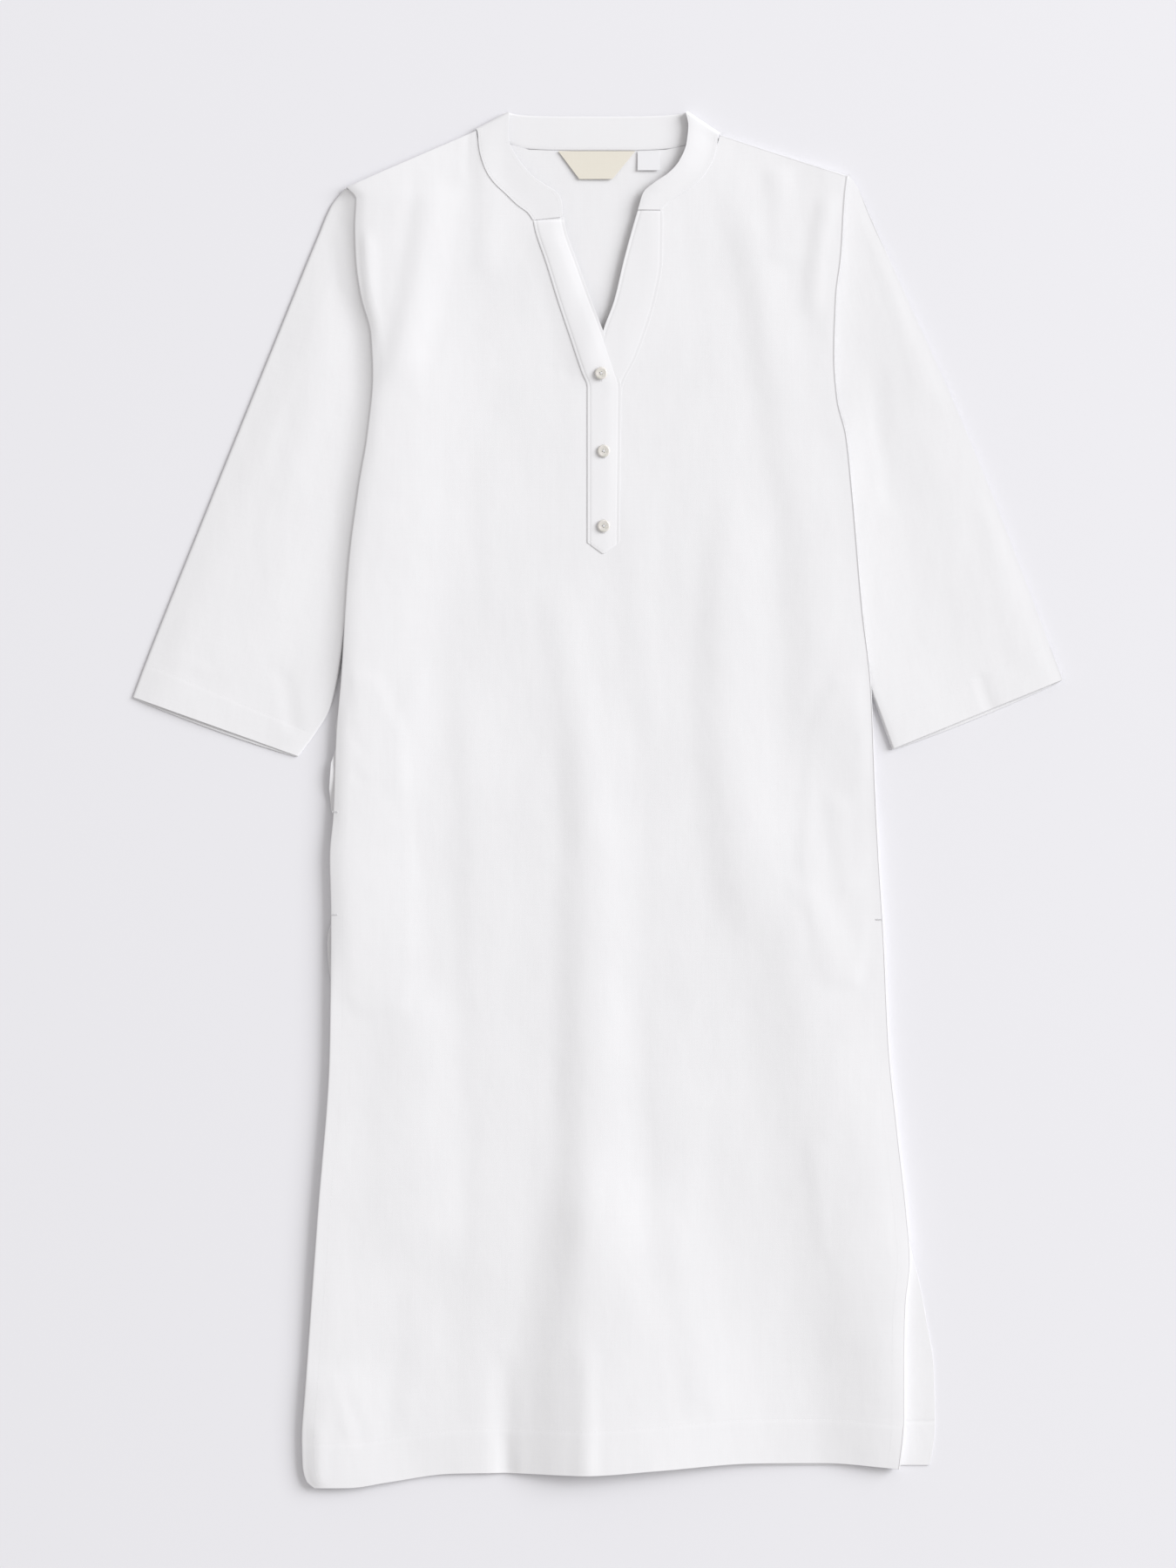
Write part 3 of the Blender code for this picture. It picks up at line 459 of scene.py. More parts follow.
# %% Fold tables
# top down, top across, low down, low across, bow, steep, easy, spread, rise top, rise low
FOLDS = (
    (430, -12, 980, -12, 0, 28, 44, 1.25, 1.2, 3.2),
    (800, -13, 1300, -13, 0, 44, 120, 2.0, 0.0, 17.5),
    (400, -118, 1200, -102, 12, 18, 40, 1.3, 0.7, 0.2),
    (370, -42, 610, -14, 2, 20, 26, 1.2, 0.6, 0.8),
    (285, 110, 690, 126, -20, 28, 40, 1.3, 1.3, 1.8),
    (22, 97, 540, 176, 16, 26, 34, 1.2, 1.2, 1.3),
    (40, 139, 130, 147, 0, 16, 18, 1.2, 0.8, 0.6),
    (62, 182, 170, 168, -2, 14, 12, 1.0, 0.8, 0.6),
    (10, -95, 140, -96, 0, 12, 18, 1.2, 0.7, 0.6),
    (50, -135, 230, -172, 3, 18, 30, 1.0, 1.2, 1.5),
    (85, -48, 225, -6, 0, 22, 22, 1.0, 0.9, 1.0),
    (6, 74, 232, -12, -14, 28, 85, 1.0, 1.8, 0.8),
    (500, 127, 1200, 266, 0, 66, 60, 1.1, 1.8, 4.0),
    (690, -152, 940, -148, 0, 52, 44, 1.1, 1.8, 1.4),
    (960, 224, 1160, 232, 0, 60, 40, 1.3, 0.8, 1.6),
    (1000, -226, 1160, -222, 0, 26, 80, 1.2, 1.0, 5.0),
)
CREASES = (
    (205, -52, 215, -14, 0, 5, 6, 1.0, -0.5, -0.4),
    (507, -200, 515, -191, 0, 4, 5, 1.0, -0.4, -0.3),
    (532, -202, 542, -190, 0, 4, 6, 1.0, -0.4, -0.3),
    (610, 146, 712, 200, 5, 14, 24, 1.0, 0.35, 0.3),
    (820, 166, 930, 178, 0, 8, 14, 1.0, 0.35, 0.3),
    (1010, -222, 1070, -204, 2, 6, 8, 1.2, 0.25, 0.4),
    (1020, -212, 1078, -192, 0, 7, 9, 1.0, -0.15, -0.3),
    (1050, -231, 1110, -230, 0, 8, 9, 1.0, 0.6, 1.0),
    (1060, -82, 1100, -79, 0, 6, 9, 1.4, -0.3, -0.7),
    (985, -15, 1110, -15, 0, 12, 14, 1.1, 0.4, 1.5),
    (990, -79, 1110, -77, 0, 17, 10, 1.1, -0.4, -1.6),
    (440, -152, 560, -166, 0, 16, 24, 1.0, 0.4, 0.5),
    (300, 20, 520, 44, -4, 18, 30, 1.2, 0.35, 0.4),
    (250, -96, 420, -86, 0, 16, 28, 1.1, 0.3, 0.4),
    (700, 40, 960, 52, 4, 18, 36, 1.2, 0.4, 0.5),
    (880, 60, 1060, 84, -3, 16, 34, 1.3, 0.3, 0.6),
    (930, -150, 1080, -158, 2, 16, 30, 1.2, 0.3, 0.5),
    (545, 186, 640, 196, 0, 12, 18, 1.0, 0.6, 0.4),
    (92, -192, 196, -187, 0, 6, 13, 1.0, 0.9, 0.7),
    (438, -210, 512, -203, 2, 4, 6, 1.0, -0.35, -0.3),
    (12, -108, 56, -112, 0, 3, 4, 1.0, -0.35, -0.2),
)
HEM_DEPTH, SLIT_HEM = 35.0, 10.0
LEFT_SLIT, RIGHT_SLIT = 646.0, 650.0
print("folds:", len(FOLDS), "and creases:", len(CREASES))


# %% Height of the front
def fold_rise(fold, across, down):
    """Height that one fold adds."""
    (top_down, top_across, low_down, low_across, bow, steep, easy, spread, rise_top,
     rise_low) = fold
    share = (down - top_down) / (low_down - top_down)
    inside = (share > 0.0) & (share < 1.0)
    share = np.clip(share, 0.0, 1.0)
    middle = blend(top_across, low_across, share) + bow * 4.0 * share * (1.0 - share)
    width = blend(1.0, spread, share)
    ends = smooth(share / 0.18) * smooth((1.0 - share) / 0.18)
    ridge = bump(across - middle, steep * width, easy * width)
    return np.where(inside, blend(rise_top, rise_low, share) * ends * ridge, 0.0)


def soft_noise(across, down, wide, tall, seed):
    """Smooth uneven heights from -1 to 1, in hills about wide by tall."""
    lattice = np.random.default_rng(seed).uniform(-1.0, 1.0, (64, 64))
    u, v = across / wide + 320.0, down / tall + 320.0
    column, row = np.floor(u).astype(int), np.floor(v).astype(int)
    s, t = smooth(u - column), smooth(v - row)
    corner = [[lattice[(row + i) % 64, (column + j) % 64] for j in (0, 1)] for i in (0, 1)]
    return blend(blend(corner[0][0], corner[0][1], s), blend(corner[1][0], corner[1][1], s), t)


def front_rise(across, down):
    """Outer height of the front's solid, away from its pressed edges."""
    rise = body_rise(down) + sum(fold_rise(fold, across, down) for fold in FOLDS)
    low = smooth((down - 650.0) / 80.0)
    lean = across - left_edge(down) - blend(10.0, 2.0, low)
    rise += (blend(3.4, 2.4, low) * bump(lean, blend(24.0, 15.0, low), 95.0)
             * left_hold(down))
    rise += 1.2 * bump(right_edge(down) - across, 15.0, 50.0) * right_hold(down)
    return rise + 0.25 * smooth((HEM_DEPTH + 5.0 - (front_hem(across) - down)) / 10.0)


def shoulder_down(across):
    """Down of the shoulder line."""
    left = blend(62.0, 16.0, (across + 206.5) / 105.0)
    right = blend(53.0, 19.6, (across - 196.0) / (92.4 - 196.0))
    return np.where(across < 0, left, right)


def groove(distance, wide, deep):
    """Narrow trough that a row of stitches presses in."""
    return -deep * np.exp(-(distance / wide) ** 2)


POCKET_LEFT = ((-203, 452), (-180, 456), (-160, 500), (-152, 600), (-152, 700), (-160, 725),
               (-196, 727), (-208, 712), (-211, 640), (-212, 574), (-219, 562), (-220.5, 545),
               (-219, 524), (-214, 510), (-215.5, 494), (-213.5, 484), (-206, 474))
POCKET_RIGHT = ((206, 452), (184, 456), (164, 500), (157, 600), (168, 675), (180, 702),
                (204, 704), (212, 680), (212, 500), (208, 474))


def depth_inside(outline, across, down):
    """Distance inside an outline, negative outside it."""
    nearest = np.full(np.shape(across), 1e9)
    inside = np.zeros(np.shape(across), bool)
    for (x1, y1), (x2, y2) in zip(outline, outline[1:] + outline[:1]):
        along = ((across - x1) * (x2 - x1) + (down - y1) * (y2 - y1))
        along = np.clip(along / ((x2 - x1) ** 2 + (y2 - y1) ** 2), 0.0, 1.0)
        nearest = np.minimum(nearest, np.hypot(across - blend(x1, x2, along),
                                               down - blend(y1, y2, along)))
        crosses = (y1 > down) != (y2 > down)
        side = (x2 - x1) * (down - y1) / np.where(y2 == y1, 1e-9, y2 - y1) + x1
        inside ^= crosses & (across < side)
    return np.where(inside, nearest, -nearest)


def front_detail(across, down):
    """Small creases, pocket relief and stitched lines on top of the solid's form."""
    rise = sum(fold_rise(fold, across, down) for fold in CREASES)
    rise += 0.14 * soft_noise(across, down, 22.0, 95.0, 3)
    rise += 0.04 * soft_noise(across + 0.15 * down, down, 9.0, 30.0, 4)
    for outline in (POCKET_LEFT, POCKET_RIGHT):
        rise += 0.45 * smooth((depth_inside(outline, across, down) + 4.0) / 9.0)
    rise += groove(front_hem(across) - down - HEM_DEPTH, 1.2, 0.06)
    from_left, from_right = across - left_edge(down), right_edge(down) - across
    rise += groove(from_left - SLIT_HEM, 1.2, 0.07) * smooth((down - LEFT_SLIT) / 6.0)
    rise += groove(from_right - SLIT_HEM, 1.2, 0.07) * smooth((down - RIGHT_SLIT) / 6.0)
    return rise


def front_face(across, down):
    """Outer face of the front, with its sides and shoulders pressed down."""
    from_left, from_right = across - left_edge(down), right_edge(down) - across
    near_left = from_left < from_right
    edge = np.where(near_left, from_left, from_right)
    seat = np.where(near_left, left_seat(down), right_seat(down))
    hold = np.where(near_left, left_hold(down), right_hold(down))
    side = 1.0 - hold * (1.0 - quarter(edge, 0.8))
    top = quarter(down - shoulder_down(across), 0.8)
    rise = front_rise(across, down) + front_detail(across, down) * smooth(edge / 8.0)
    seat = np.maximum(seat, rise - np.where(near_left, 0.3, 0.0))
    return blend(seat, rise, np.minimum(side, top))


print("highest fold:", float(front_face(np.array([0.0]), np.array([1060.0]))[0]), "mm")

# %% [markdown]
# ## From points to cloth
# A sheet of cloth is a grid of points with a thin wall behind it. Blender's Solidify
# modifier could add the wall, but its square rim catches the light like cut card. This
# helper adds the inner face and a rim that stands out a little between the two faces, so
# every edge looks like a soft turned edge. Only corners over 45 degrees are shaded sharp.
# A grid may leave out points, as in the front's opening, or close on itself, as round a
# sleeve.


# %% Cloth from a grid
def vertex_normals(points, faces):
    """Unit normal of every point of a mesh of quads."""
    corner = points[faces]
    face_normal = np.cross(corner[:, 2] - corner[:, 0], corner[:, 3] - corner[:, 1])
    total = np.zeros_like(points)
    for i in range(4):
        np.add.at(total, faces[:, i], face_normal)
    return total / np.maximum(np.linalg.norm(total, axis=1, keepdims=True), 1e-12)


def rim_edges(faces, count):
    """Edges that only one face has, in that face's direction."""
    start = faces.ravel()
    end = np.roll(faces, -1, axis=1).ravel()
    code, back_code = start * count + end, end * count + start
    open_edge = ~np.isin(code, back_code)
    return start[open_edge], end[open_edge]


def shell(name, grid, wall, there=None, outside=0.0, closed=False, rim=0.35):
    """Closed thin sheet on a grid of points. outside is how far its outer face is over them."""
    there = np.ones(grid.shape[:2], bool) if there is None else there
    index = np.full(there.shape, -1)
    index[there] = np.arange(there.sum())
    if closed:
        index = np.hstack([index, index[:, :1]])
    faces = np.stack([index[:-1, :-1], index[1:, :-1], index[1:, 1:], index[:-1, 1:]], -1)
    faces = faces.reshape(-1, 4)
    faces = faces[(faces >= 0).all(axis=1)]
    points = grid[there]
    wall = np.broadcast_to(wall, grid.shape[:2])[there][:, None] * MM
    normal = vertex_normals(points, faces)
    outer = points + normal * outside * MM
    inner = outer - normal * wall
    count = len(points)
    start, end = rim_edges(faces, count)
    along = points[end] - points[start]
    sideways = np.zeros_like(points)
    for corner in (start, end):
        np.add.at(sideways, corner, np.cross(along, normal[corner]))
    long = np.maximum(np.linalg.norm(sideways, axis=1, keepdims=True), 1e-12)
    middle = (outer + inner) / 2 + sideways / long * wall * rim
    on_rim = np.unique(start)
    rim_index = np.full(count, -1)
    rim_index[on_rim] = np.arange(len(on_rim)) + 2 * count
    rim_faces = np.concatenate([
        np.stack([end, start, rim_index[start], rim_index[end]], 1),
        np.stack([rim_index[end], rim_index[start], start + count, end + count], 1)])
    everything = np.concatenate([faces, faces[:, ::-1] + count, rim_faces])
    mesh = new_mesh(name, np.concatenate([outer, inner, middle[on_rim]]), everything)
    mesh.set_sharp_from_angle(angle=math.radians(45))
    return mesh


def add_piece(name, mesh, material, *nodes, slot="cloth"):
    """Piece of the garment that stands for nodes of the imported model."""
    piece = add_object(name, mesh)
    mesh.materials.append(material)
    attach(piece, "root")
    if nodes:
        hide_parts(*nodes)
    print(name, len(mesh.polygons), "faces")
    return piece


CLOTH_WALL = 0.6
print("wall of the cloth:", CLOTH_WALL, "mm")

# %% [markdown]
# ## Front
# The front is one panel. Above the end of its opening it is two halves that run from the
# side seam to the neck band and the placket, and below that it is whole. Rows of the grid
# follow the seams, so no edge needs to be cut out. The rows are close together at the
# shoulder, the hem line and the edges, where the cloth bends most. One more column at each
# side and one more row at the shoulder turn the edge down, as a pressed seam does. At the
# right the turned edge is also cut back underneath. The light comes from there, and an
# upright edge would throw a bright line on the cloth beside it.


# %% Front panel
FRONT_POINTS = 47   # across a half, past the close ones at its edge
EDGE_CLOSE = (0.0, 0.08, 0.25, 0.55, 1.0, 1.5, 2.2, 4.0)
BELOW_SLOT = 748.0   # from the end of the opening to the hem


def front_halves(share):
    """Plan points of a row above the opening's end: left half and right half."""
    halves = []
    for side, edge, neck, neck_rows, slot_rows, sign in (
            (LEFT_SIDE, left_edge, neck_left, NECK_LEFT, SLOT_LEFT, -1),
            (RIGHT_SIDE, right_edge, neck_right, NECK_RIGHT, SLOT_RIGHT, 1)):
        side_down = blend(side[0][0], SLOT_DOWN, share)
        inner_down = blend(neck_rows[0][0], SLOT_DOWN, share)
        inner = neck if inner_down < neck_rows[-1][0] else Curve(slot_rows)
        clear = -1.6 + 2.6 * (1.0 - smooth(share / 0.06))
        start, stop = float(edge(side_down)), float(inner(inner_down)) + sign * clear
        wide = abs(stop - start)
        near = np.array(EDGE_CLOSE) / wide
        share_in = np.concatenate([near, np.linspace(near[-1], 1.0, FRONT_POINTS)[1:]])
        halves.append(np.stack([blend(start, stop, share_in),
                                blend(side_down, inner_down, share_in)], -1))
    return halves


def front_grid():
    """Plan points of the front, and which of them exist."""
    shares = np.concatenate([[0.0, 0.0015, 0.004, 0.008, 0.014, 0.02, 0.03],
                             np.linspace(0.04, 1.0, 76)])
    rows, there = [], []
    for share in shares:
        left, right = front_halves(share)
        middle = blend(left[-1], right[-1], np.linspace(0, 1, 8)[1:-1, None])
        rows.append(np.concatenate([left, middle, right[::-1]]))
        there.append([True] * len(left) + [bool(share == 1.0)] * 6 + [True] * len(right))
    base = rows[-1][:, 0]
    wide = right_edge(SLOT_DOWN) - left_edge(SLOT_DOWN)
    start_share = (base - left_edge(SLOT_DOWN)) / wide
    hem_share = 1.0 - HEM_DEPTH / BELOW_SLOT
    lows = np.concatenate([
        np.linspace(0.0, hem_share - 0.01, 166)[1:], hem_share + np.arange(-6, 9) * 0.00115,
        np.linspace(hem_share + 0.012, 0.994, 7), [0.9965, 0.9985, 1.0]])
    hem_across = blend(FRONT_HEM[0][0], FRONT_HEM[-1][0], start_share)
    for share in lows:
        down = blend(SLOT_DOWN, front_hem(hem_across), share)
        across = blend(left_edge(down), right_edge(down), start_share)
        rows.append(np.stack([across, down], -1))
        there.append([True] * len(across))
    return np.array(rows), np.array(there)


front_plan, front_there = front_grid()
front_across, front_down = front_plan[..., 0], front_plan[..., 1]
hem_layers = smooth((HEM_DEPTH - (front_hem(front_across) - front_down)) / 1.5)
front_wall = CLOTH_WALL + 0.4 * hem_layers
front_height = front_face(front_across, front_down)


UNDERCUT, TOP_INWARD, TOP_SEAT = (0.25, 3.0), 1.5, 1.9
left_down, right_down = front_down[:, 0], front_down[:, -1]
low_left = (left_seat(left_down) * 0.8 - 0.1
            + 2.6 * (1.0 - smooth((left_down - 425.0) / 75.0)))
low_right = (right_seat(right_down) * 0.8 - 0.1
             + 1.9 * (1.0 - smooth((right_down - 400.0) / 75.0)))
front_across, front_down, front_height, front_wall, front_there = (
    np.pad(grid, ((1, 0), (1, 1)), mode="edge")
    for grid in (front_across, front_down, front_height, front_wall, front_there))
front_across[:, 0] += UNDERCUT[0]
front_across[:, -1] -= UNDERCUT[1]
front_down[0] += TOP_INWARD
front_height[1:, 0], front_height[1:, -1] = low_left, low_right
front_height[0] = TOP_SEAT
front_points = place(front_across, front_down, front_height)
add_piece("kurta_front", shell("kurta_front", front_points, front_wall, front_there), cotton,
          "front")

# %% [markdown]
# ## Back
# The whole garment lies on the back, so this panel is flat below and only a little uneven
# above. It shows inside the neck, at the pocket and past the front at the right slit. Just
# below the left pocket its edge rises in a thin sliver.
# Its side edges follow the sleeves down to the armpits, just clear of them.

# %% Sleeve lines
SLEEVES = {
    "left": {
        "outer": ((-208.6, 62.3), (-219, 75.6), (-229.6, 100), (-261, 177), (-320.6, 324),
                  (-369.6, 446.6), (-378.7, 471)),
        "inner": ((-178.5, 186), (-181, 215), (-185, 261), (-192.5, 303), (-201.5, 366),
                  (-207.5, 415), (-211.5, 445), (-220.5, 481), (-232.4, 501), (-245.7, 518.7)),
        "cap": ((-208.6, 62.3), (-201, 66), (-194.5, 73), (-191, 93), (-190.5, 121),
                (-187, 149), (-180, 175), (-178.5, 186)),
        # height of the upper layer, how far its edges are pressed down, how wide the outer
        # edge is rounded, and the height of that edge's middle
        "lie": 2.2, "low_edge": 0.3, "outer_round": 2.4, "outer_mid": 1.0,
        # edge of the body, its side, how high the sleeve rises to it, and from how far
        "body_lift": (left_edge, -1, 4.2, 25.0),
        # middle at the top and at the cuff, steep, easy, rise
        "puffs": ((0.22, 0.18, 0.20, 0.70, 1.0), (0.55, 0.50, 0.30, 0.30, 0.3)),
        "creases": ((150, -222, 330, -262, 3, 16, 26, 1.2, 0.3, 0.4),
                    (445, -262, 505, -250, 2, 10, 14, 1.0, -0.4, -0.7),
                    (440, -352, 455, -300, 0, 8, 12, 1.0, 0.2, 0.3),
                    (90, -214, 150, -206, 0, 9, 12, 1.0, 0.3, 0.3)),
    },
    "right": {
        "outer": ((197.4, 51), (204.4, 61.6), (215, 86), (246.4, 156), (278, 226), (313, 310),
                  (369, 457)),
        "inner": ((184, 233), (190.5, 261), (195.5, 303), (204.5, 401), (211.5, 455),
                  (223, 489), (231.7, 513)),
        "cap": ((197.4, 51), (192, 60), (189, 72), (187, 117), (183, 150), (181.5, 198),
                (184, 233)),
        "lie": 3.0, "low_edge": 0.0, "outer_round": 0.12, "outer_mid": 2.8,
        "body_lift": (right_edge, 1, 0.8, 50.0),
        "puffs": ((1.0, 1.0, 0.55, 0.30, 1.2), (0.12, 0.22, 0.90, 0.42, 0.8)),
        "creases": ((70, 206, 250, 262, 4, 12, 24, 1.2, 0.3, 0.4),
                    (300, 300, 460, 340, 0, 14, 26, 1.2, 0.3, 0.4),
                    (450, 300, 486, 312, 0, 6, 10, 1.0, -0.4, -0.7),
                    (200, 214, 330, 232, 0, 10, 16, 1.1, -0.3, -0.3)),
    },
}


def sleeve_spot(sleeve, along, over):
    """Plan points of a sleeve: a patch between its cap, cuff, outer and inner lines."""
    outer, inner, cap = (Line(sleeve[key_name]) for key_name in ("outer", "inner", "cap"))
    start, end = np.array(sleeve["outer"][-1]), np.array(sleeve["inner"][-1])
    along, over = along[..., None], over[..., None]
    sides = blend(outer(along[..., 0]), inner(along[..., 0]), over)
    cuff = blend(start, end, over)
    ends = blend(cap(over[..., 0]), cuff, along)
    corners = blend(blend(cap(0.0), cap(1.0), over), cuff, along)
    return sides + ends - corners


print("outer seams:", {side: round(Line(SLEEVES[side]["outer"]).long) for side in SLEEVES}, "mm")

# %% Back panel
BAND_BACK = ((-72, 2.2, -97, 18.5), (-66, 3, -80, 24.5), (-55, 3.6, -60, 30),
             (-20, 4, -20, 31.3), (20, 4, 20, 31.3), (46, 3.4, 50, 30), (56, 2.6, 70, 26),
             (63, 1.8, 87, 22))
BACK_RIGHT = ((905, 245), (947, 255), (975, 260), (1010, 265.5), (1059, 266.5), (1089, 262.5))
BACK_HEM = 1089.0
BACK_GAP, BACK_STEP = 0.6, 4.3
SLIVER = 668.0, 22.0, 46.0   # down of the raised edge, and its length above and below
LEAVES = {"left": 442, "right": 468}   # where a sleeve comes out from under the front


def back_side(side, edge, sign, low_rows, slit=0.0):
    """Curve of the back's side: beside the cap and inner line of the sleeve, then below."""
    beside = np.concatenate([Line(SLEEVES[side]["cap"])(np.linspace(0.0, 1.0, 33)),
                             Line(SLEEVES[side]["inner"])(np.linspace(0.04, 1.0, 25))])
    rows = [(down, across - sign * BACK_GAP) for across, down in beside
            if down < LEAVES[side]]
    rows += [(down, edge(down) - sign * BACK_GAP
              + slit * bump(down - SLIVER[0], *SLIVER[1:]))
             for down in np.linspace(LEAVES[side] + 8, 890, 34)]
    return Curve(rows + low_rows)


back_left = back_side("left", left_edge, -1,
                      [(down, left_edge(down) - BACK_GAP) for down in (930, 966, 1001, 1037, 1072)]
                      + [(BACK_HEM, -238)], slit=-3.4)
back_right = back_side("right", right_edge, 1, list(BACK_RIGHT))


def back_face(across, down):
    """Upper face of the back: nearly flat, with a stitched hem and slit edges."""
    rise = 1.2 + 0.12 * soft_noise(across, down, 22.0, 60.0, 9)
    from_left = across - back_left(down)
    rise += 3.6 * bump(down - SLIVER[0], *SLIVER[1:]) * (1.0 - smooth(from_left / 9.0))
    rise += groove(BACK_HEM - down - HEM_DEPTH, 1.4, 0.25)
    from_right = back_right(down) - across
    return rise + groove(from_right - SLIT_HEM, 1.2, 0.25) * smooth((down - RIGHT_SLIT) / 6.0)


neck_seam = [(row[2], row[3] + 0.8) for row in BAND_BACK]
back_top = ([(float(back_left(63.0)), 63.0), (-103, 18.4)] + neck_seam[1:-1]
            + [(93, 21.4), (float(back_right(51.6)), 51.6)])
starts = [point[0] for point in back_top]
top_across = np.concatenate([np.linspace(a, b, max(2, int((b - a) / BACK_STEP)))[:-1]
                             for a, b in zip(starts, starts[1:])] + [starts[-1:]])
top_down = np.interp(top_across, *np.array(back_top).T)
top_share = (top_across - back_left(top_down)) / (back_right(top_down) - back_left(top_down))
row_share = np.concatenate([[0.0, 0.001], np.linspace(0.004, 0.958, 215),
                            np.linspace(0.9605, 0.974, 16), np.linspace(0.978, 0.998, 5),
                            [0.9992, 1.0]])[:, None]
back_down = blend(top_down, BACK_HEM, row_share)
back_across = blend(back_left(back_down), back_right(back_down), top_share)
back_points = place(back_across, back_down, back_face(back_across, back_down))
add_piece("kurta_back", shell("kurta_back", back_points, 0.9, rim=0.2), cotton, "back")

# %% [markdown]
# ## Sleeves
# A sleeve is a flattened tube, open at the armhole and at the cuff. Rings of points run
# round it: the upper layer with its soft puff and creases, then the lower layer, which is
# flat on the table. The turned hem at the cuff is a second layer, so the tube is thicker
# there, and its lower layer shows a little past the upper one. Beside the armhole the
# sleeve rises to the edge of the body that lies on it. The outer edge of the right sleeve
# is lifted a little off the table, as it faces the light.

# %% Sleeves
SLEEVE_MID, SLEEVE_ROUND = 1.0, 2.4
LOWER_LIP = 3.0
SLEEVE_HEM = 25.0


def sleeve_top(sleeve, along, over, across, down, wide):
    """Height of a sleeve's upper layer."""
    rise = np.full(np.shape(across), sleeve["lie"])
    for middle_top, middle_low, steep, easy, puff in sleeve["puffs"]:
        middle = blend(middle_top, middle_low, along)
        rise += puff * smooth((along - 0.05) / 0.22) * bump(over - middle, steep, easy)
    edge = np.minimum(over, 1.0 - over) * wide
    rise -= sleeve["low_edge"] * (1.0 - smooth(edge / 14.0))
    body_edge, sign, lift, reach = sleeve["body_lift"]
    away = np.maximum((across - body_edge(down)) * sign, 0.0)
    rise += (lift * np.maximum(1.0 - away / reach, 0.0) ** 3
             * (1.0 - smooth((down - 425.0) / 75.0)))
    fine = sum(fold_rise(fold, across, down) for fold in sleeve["creases"])
    fine += 0.09 * soft_noise(across, down, 19.0, 70.0, 12)
    fine += 0.03 * soft_noise(across, down, 8.0, 26.0, 13)
    cuff_away = (1.0 - along) * sleeve["long"] - SLEEVE_HEM
    fine += 0.16 * smooth(0.5 - cuff_away / 8.0) + groove(cuff_away, 1.2, 0.05)
    rise += fine * smooth((edge - 1.5) / 9.0)
    rounding = np.where(over < 0.5, sleeve["outer_round"], SLEEVE_ROUND)
    middle = np.where(over < 0.5, sleeve["outer_mid"], SLEEVE_MID)
    return blend(middle, rise, quarter(edge, rounding))


def sleeve_low(sleeve, over, wide):
    """Height of a sleeve's lower layer: flat on the table, and rising to the edges."""
    edge = np.minimum(over, 1.0 - over) * wide
    lifted = sleeve["outer_mid"] * (1.0 - smooth(edge / 7.0))
    rolled = SLEEVE_MID * (1.0 - quarter(edge, SLEEVE_ROUND))
    return np.where((over < 0.5) & (sleeve["outer_mid"] > SLEEVE_MID), lifted, rolled)


def sleeve_shares(wide):
    """Places across a sleeve, close together in the rounding of its two edges."""
    close = np.array([0.0, 0.12, 0.4, 0.8, 1.3, 1.8, SLEEVE_ROUND])
    inner = np.linspace(SLEEVE_ROUND, wide - SLEEVE_ROUND, 34)[1:-1]
    return np.concatenate([close, inner, wide - close[::-1]]) / wide


def sleeve_grid(side):
    """Closed rings of points round a sleeve, from the armhole to the cuff."""
    sleeve = SLEEVES[side]
    sleeve["long"] = (Line(sleeve["outer"]).long + Line(sleeve["inner"]).long) / 2
    hem_at = 1.0 - SLEEVE_HEM / sleeve["long"]
    alongs = np.concatenate([np.linspace(0.0, hem_at - 0.012, 92),
                             hem_at + np.arange(-4, 6) * 0.0022,
                             np.linspace(hem_at + 0.016, 0.997, 6), [0.9988, 1.0]])
    rings = []
    for along in alongs:
        ends = sleeve_spot(sleeve, np.array([along, along]), np.array([0.0, 1.0]))
        wide = float(np.hypot(*(ends[1] - ends[0])))
        over = sleeve_shares(wide)
        spot = sleeve_spot(sleeve, np.full(over.shape, along), over)
        across, down = spot[:, 0], spot[:, 1]
        top = sleeve_top(sleeve, along, over, across, down, wide)
        lip = LOWER_LIP * smooth((along - 0.9) / 0.1) * np.sqrt(
            np.maximum(np.sin(np.pi * over), 0.0))
        low = sleeve_low(sleeve, over, wide)
        upper = place(across, down, top)
        lower = place(across, down + lip, low)
        rings.append(np.concatenate([upper, lower[-2:0:-1]]))
    return np.array(rings), alongs


for side, material in (("left", cotton_left), ("right", cotton_right)):
    grid, alongs = sleeve_grid(side)
    if side == "right":
        grid = grid[:, ::-1]
    hem_at = 1.0 - SLEEVE_HEM / SLEEVES[side]["long"]
    wall = (CLOTH_WALL + 0.35 * smooth((alongs - hem_at) / 0.006))[:, None]
    wall = np.broadcast_to(wall, grid.shape[:2])
    mesh = shell(f"kurta_sleeve_{side}", grid, wall, closed=True)
    add_piece(f"kurta_sleeve_{side}", mesh, material, f"sleeve_{side}")

# %% [markdown]
# ## Neck band
# The band is a strip of two layers with stiff interfacing between them. It stands along
# the back neck, folds over at each shoulder, and lies on the front down to its two ends.
# A strip with a fold is easy as a grid: each station has a point on the free edge and one
# on the seam, and a smooth curve joins the stations.

# %% Neck band
BAND_WALL = 0.6
BAND_LEFT = ((88, -32.9, 85.4), (82, -33.6, 75), (76, -37, 66.5), (66.5, -46, 60.5),
             (59, -56.7, 53), (51, -65, 44), (42, -72, 33.6), (30, -76.5, 21), (16, -76, 2.6))
BAND_RIGHT = ((19.6, 66, 2), (28, 68, 12), (37, 66.5, 26.6), (53, 60.5, 41), (62, 52, 50.5),
              (68, 41, 58), (73, 32, 66), (80, 27.6, 79.8))
BAND_RISE, FOLD_OUT, FOLD_RISE = 0.8, 1.4, 3.4


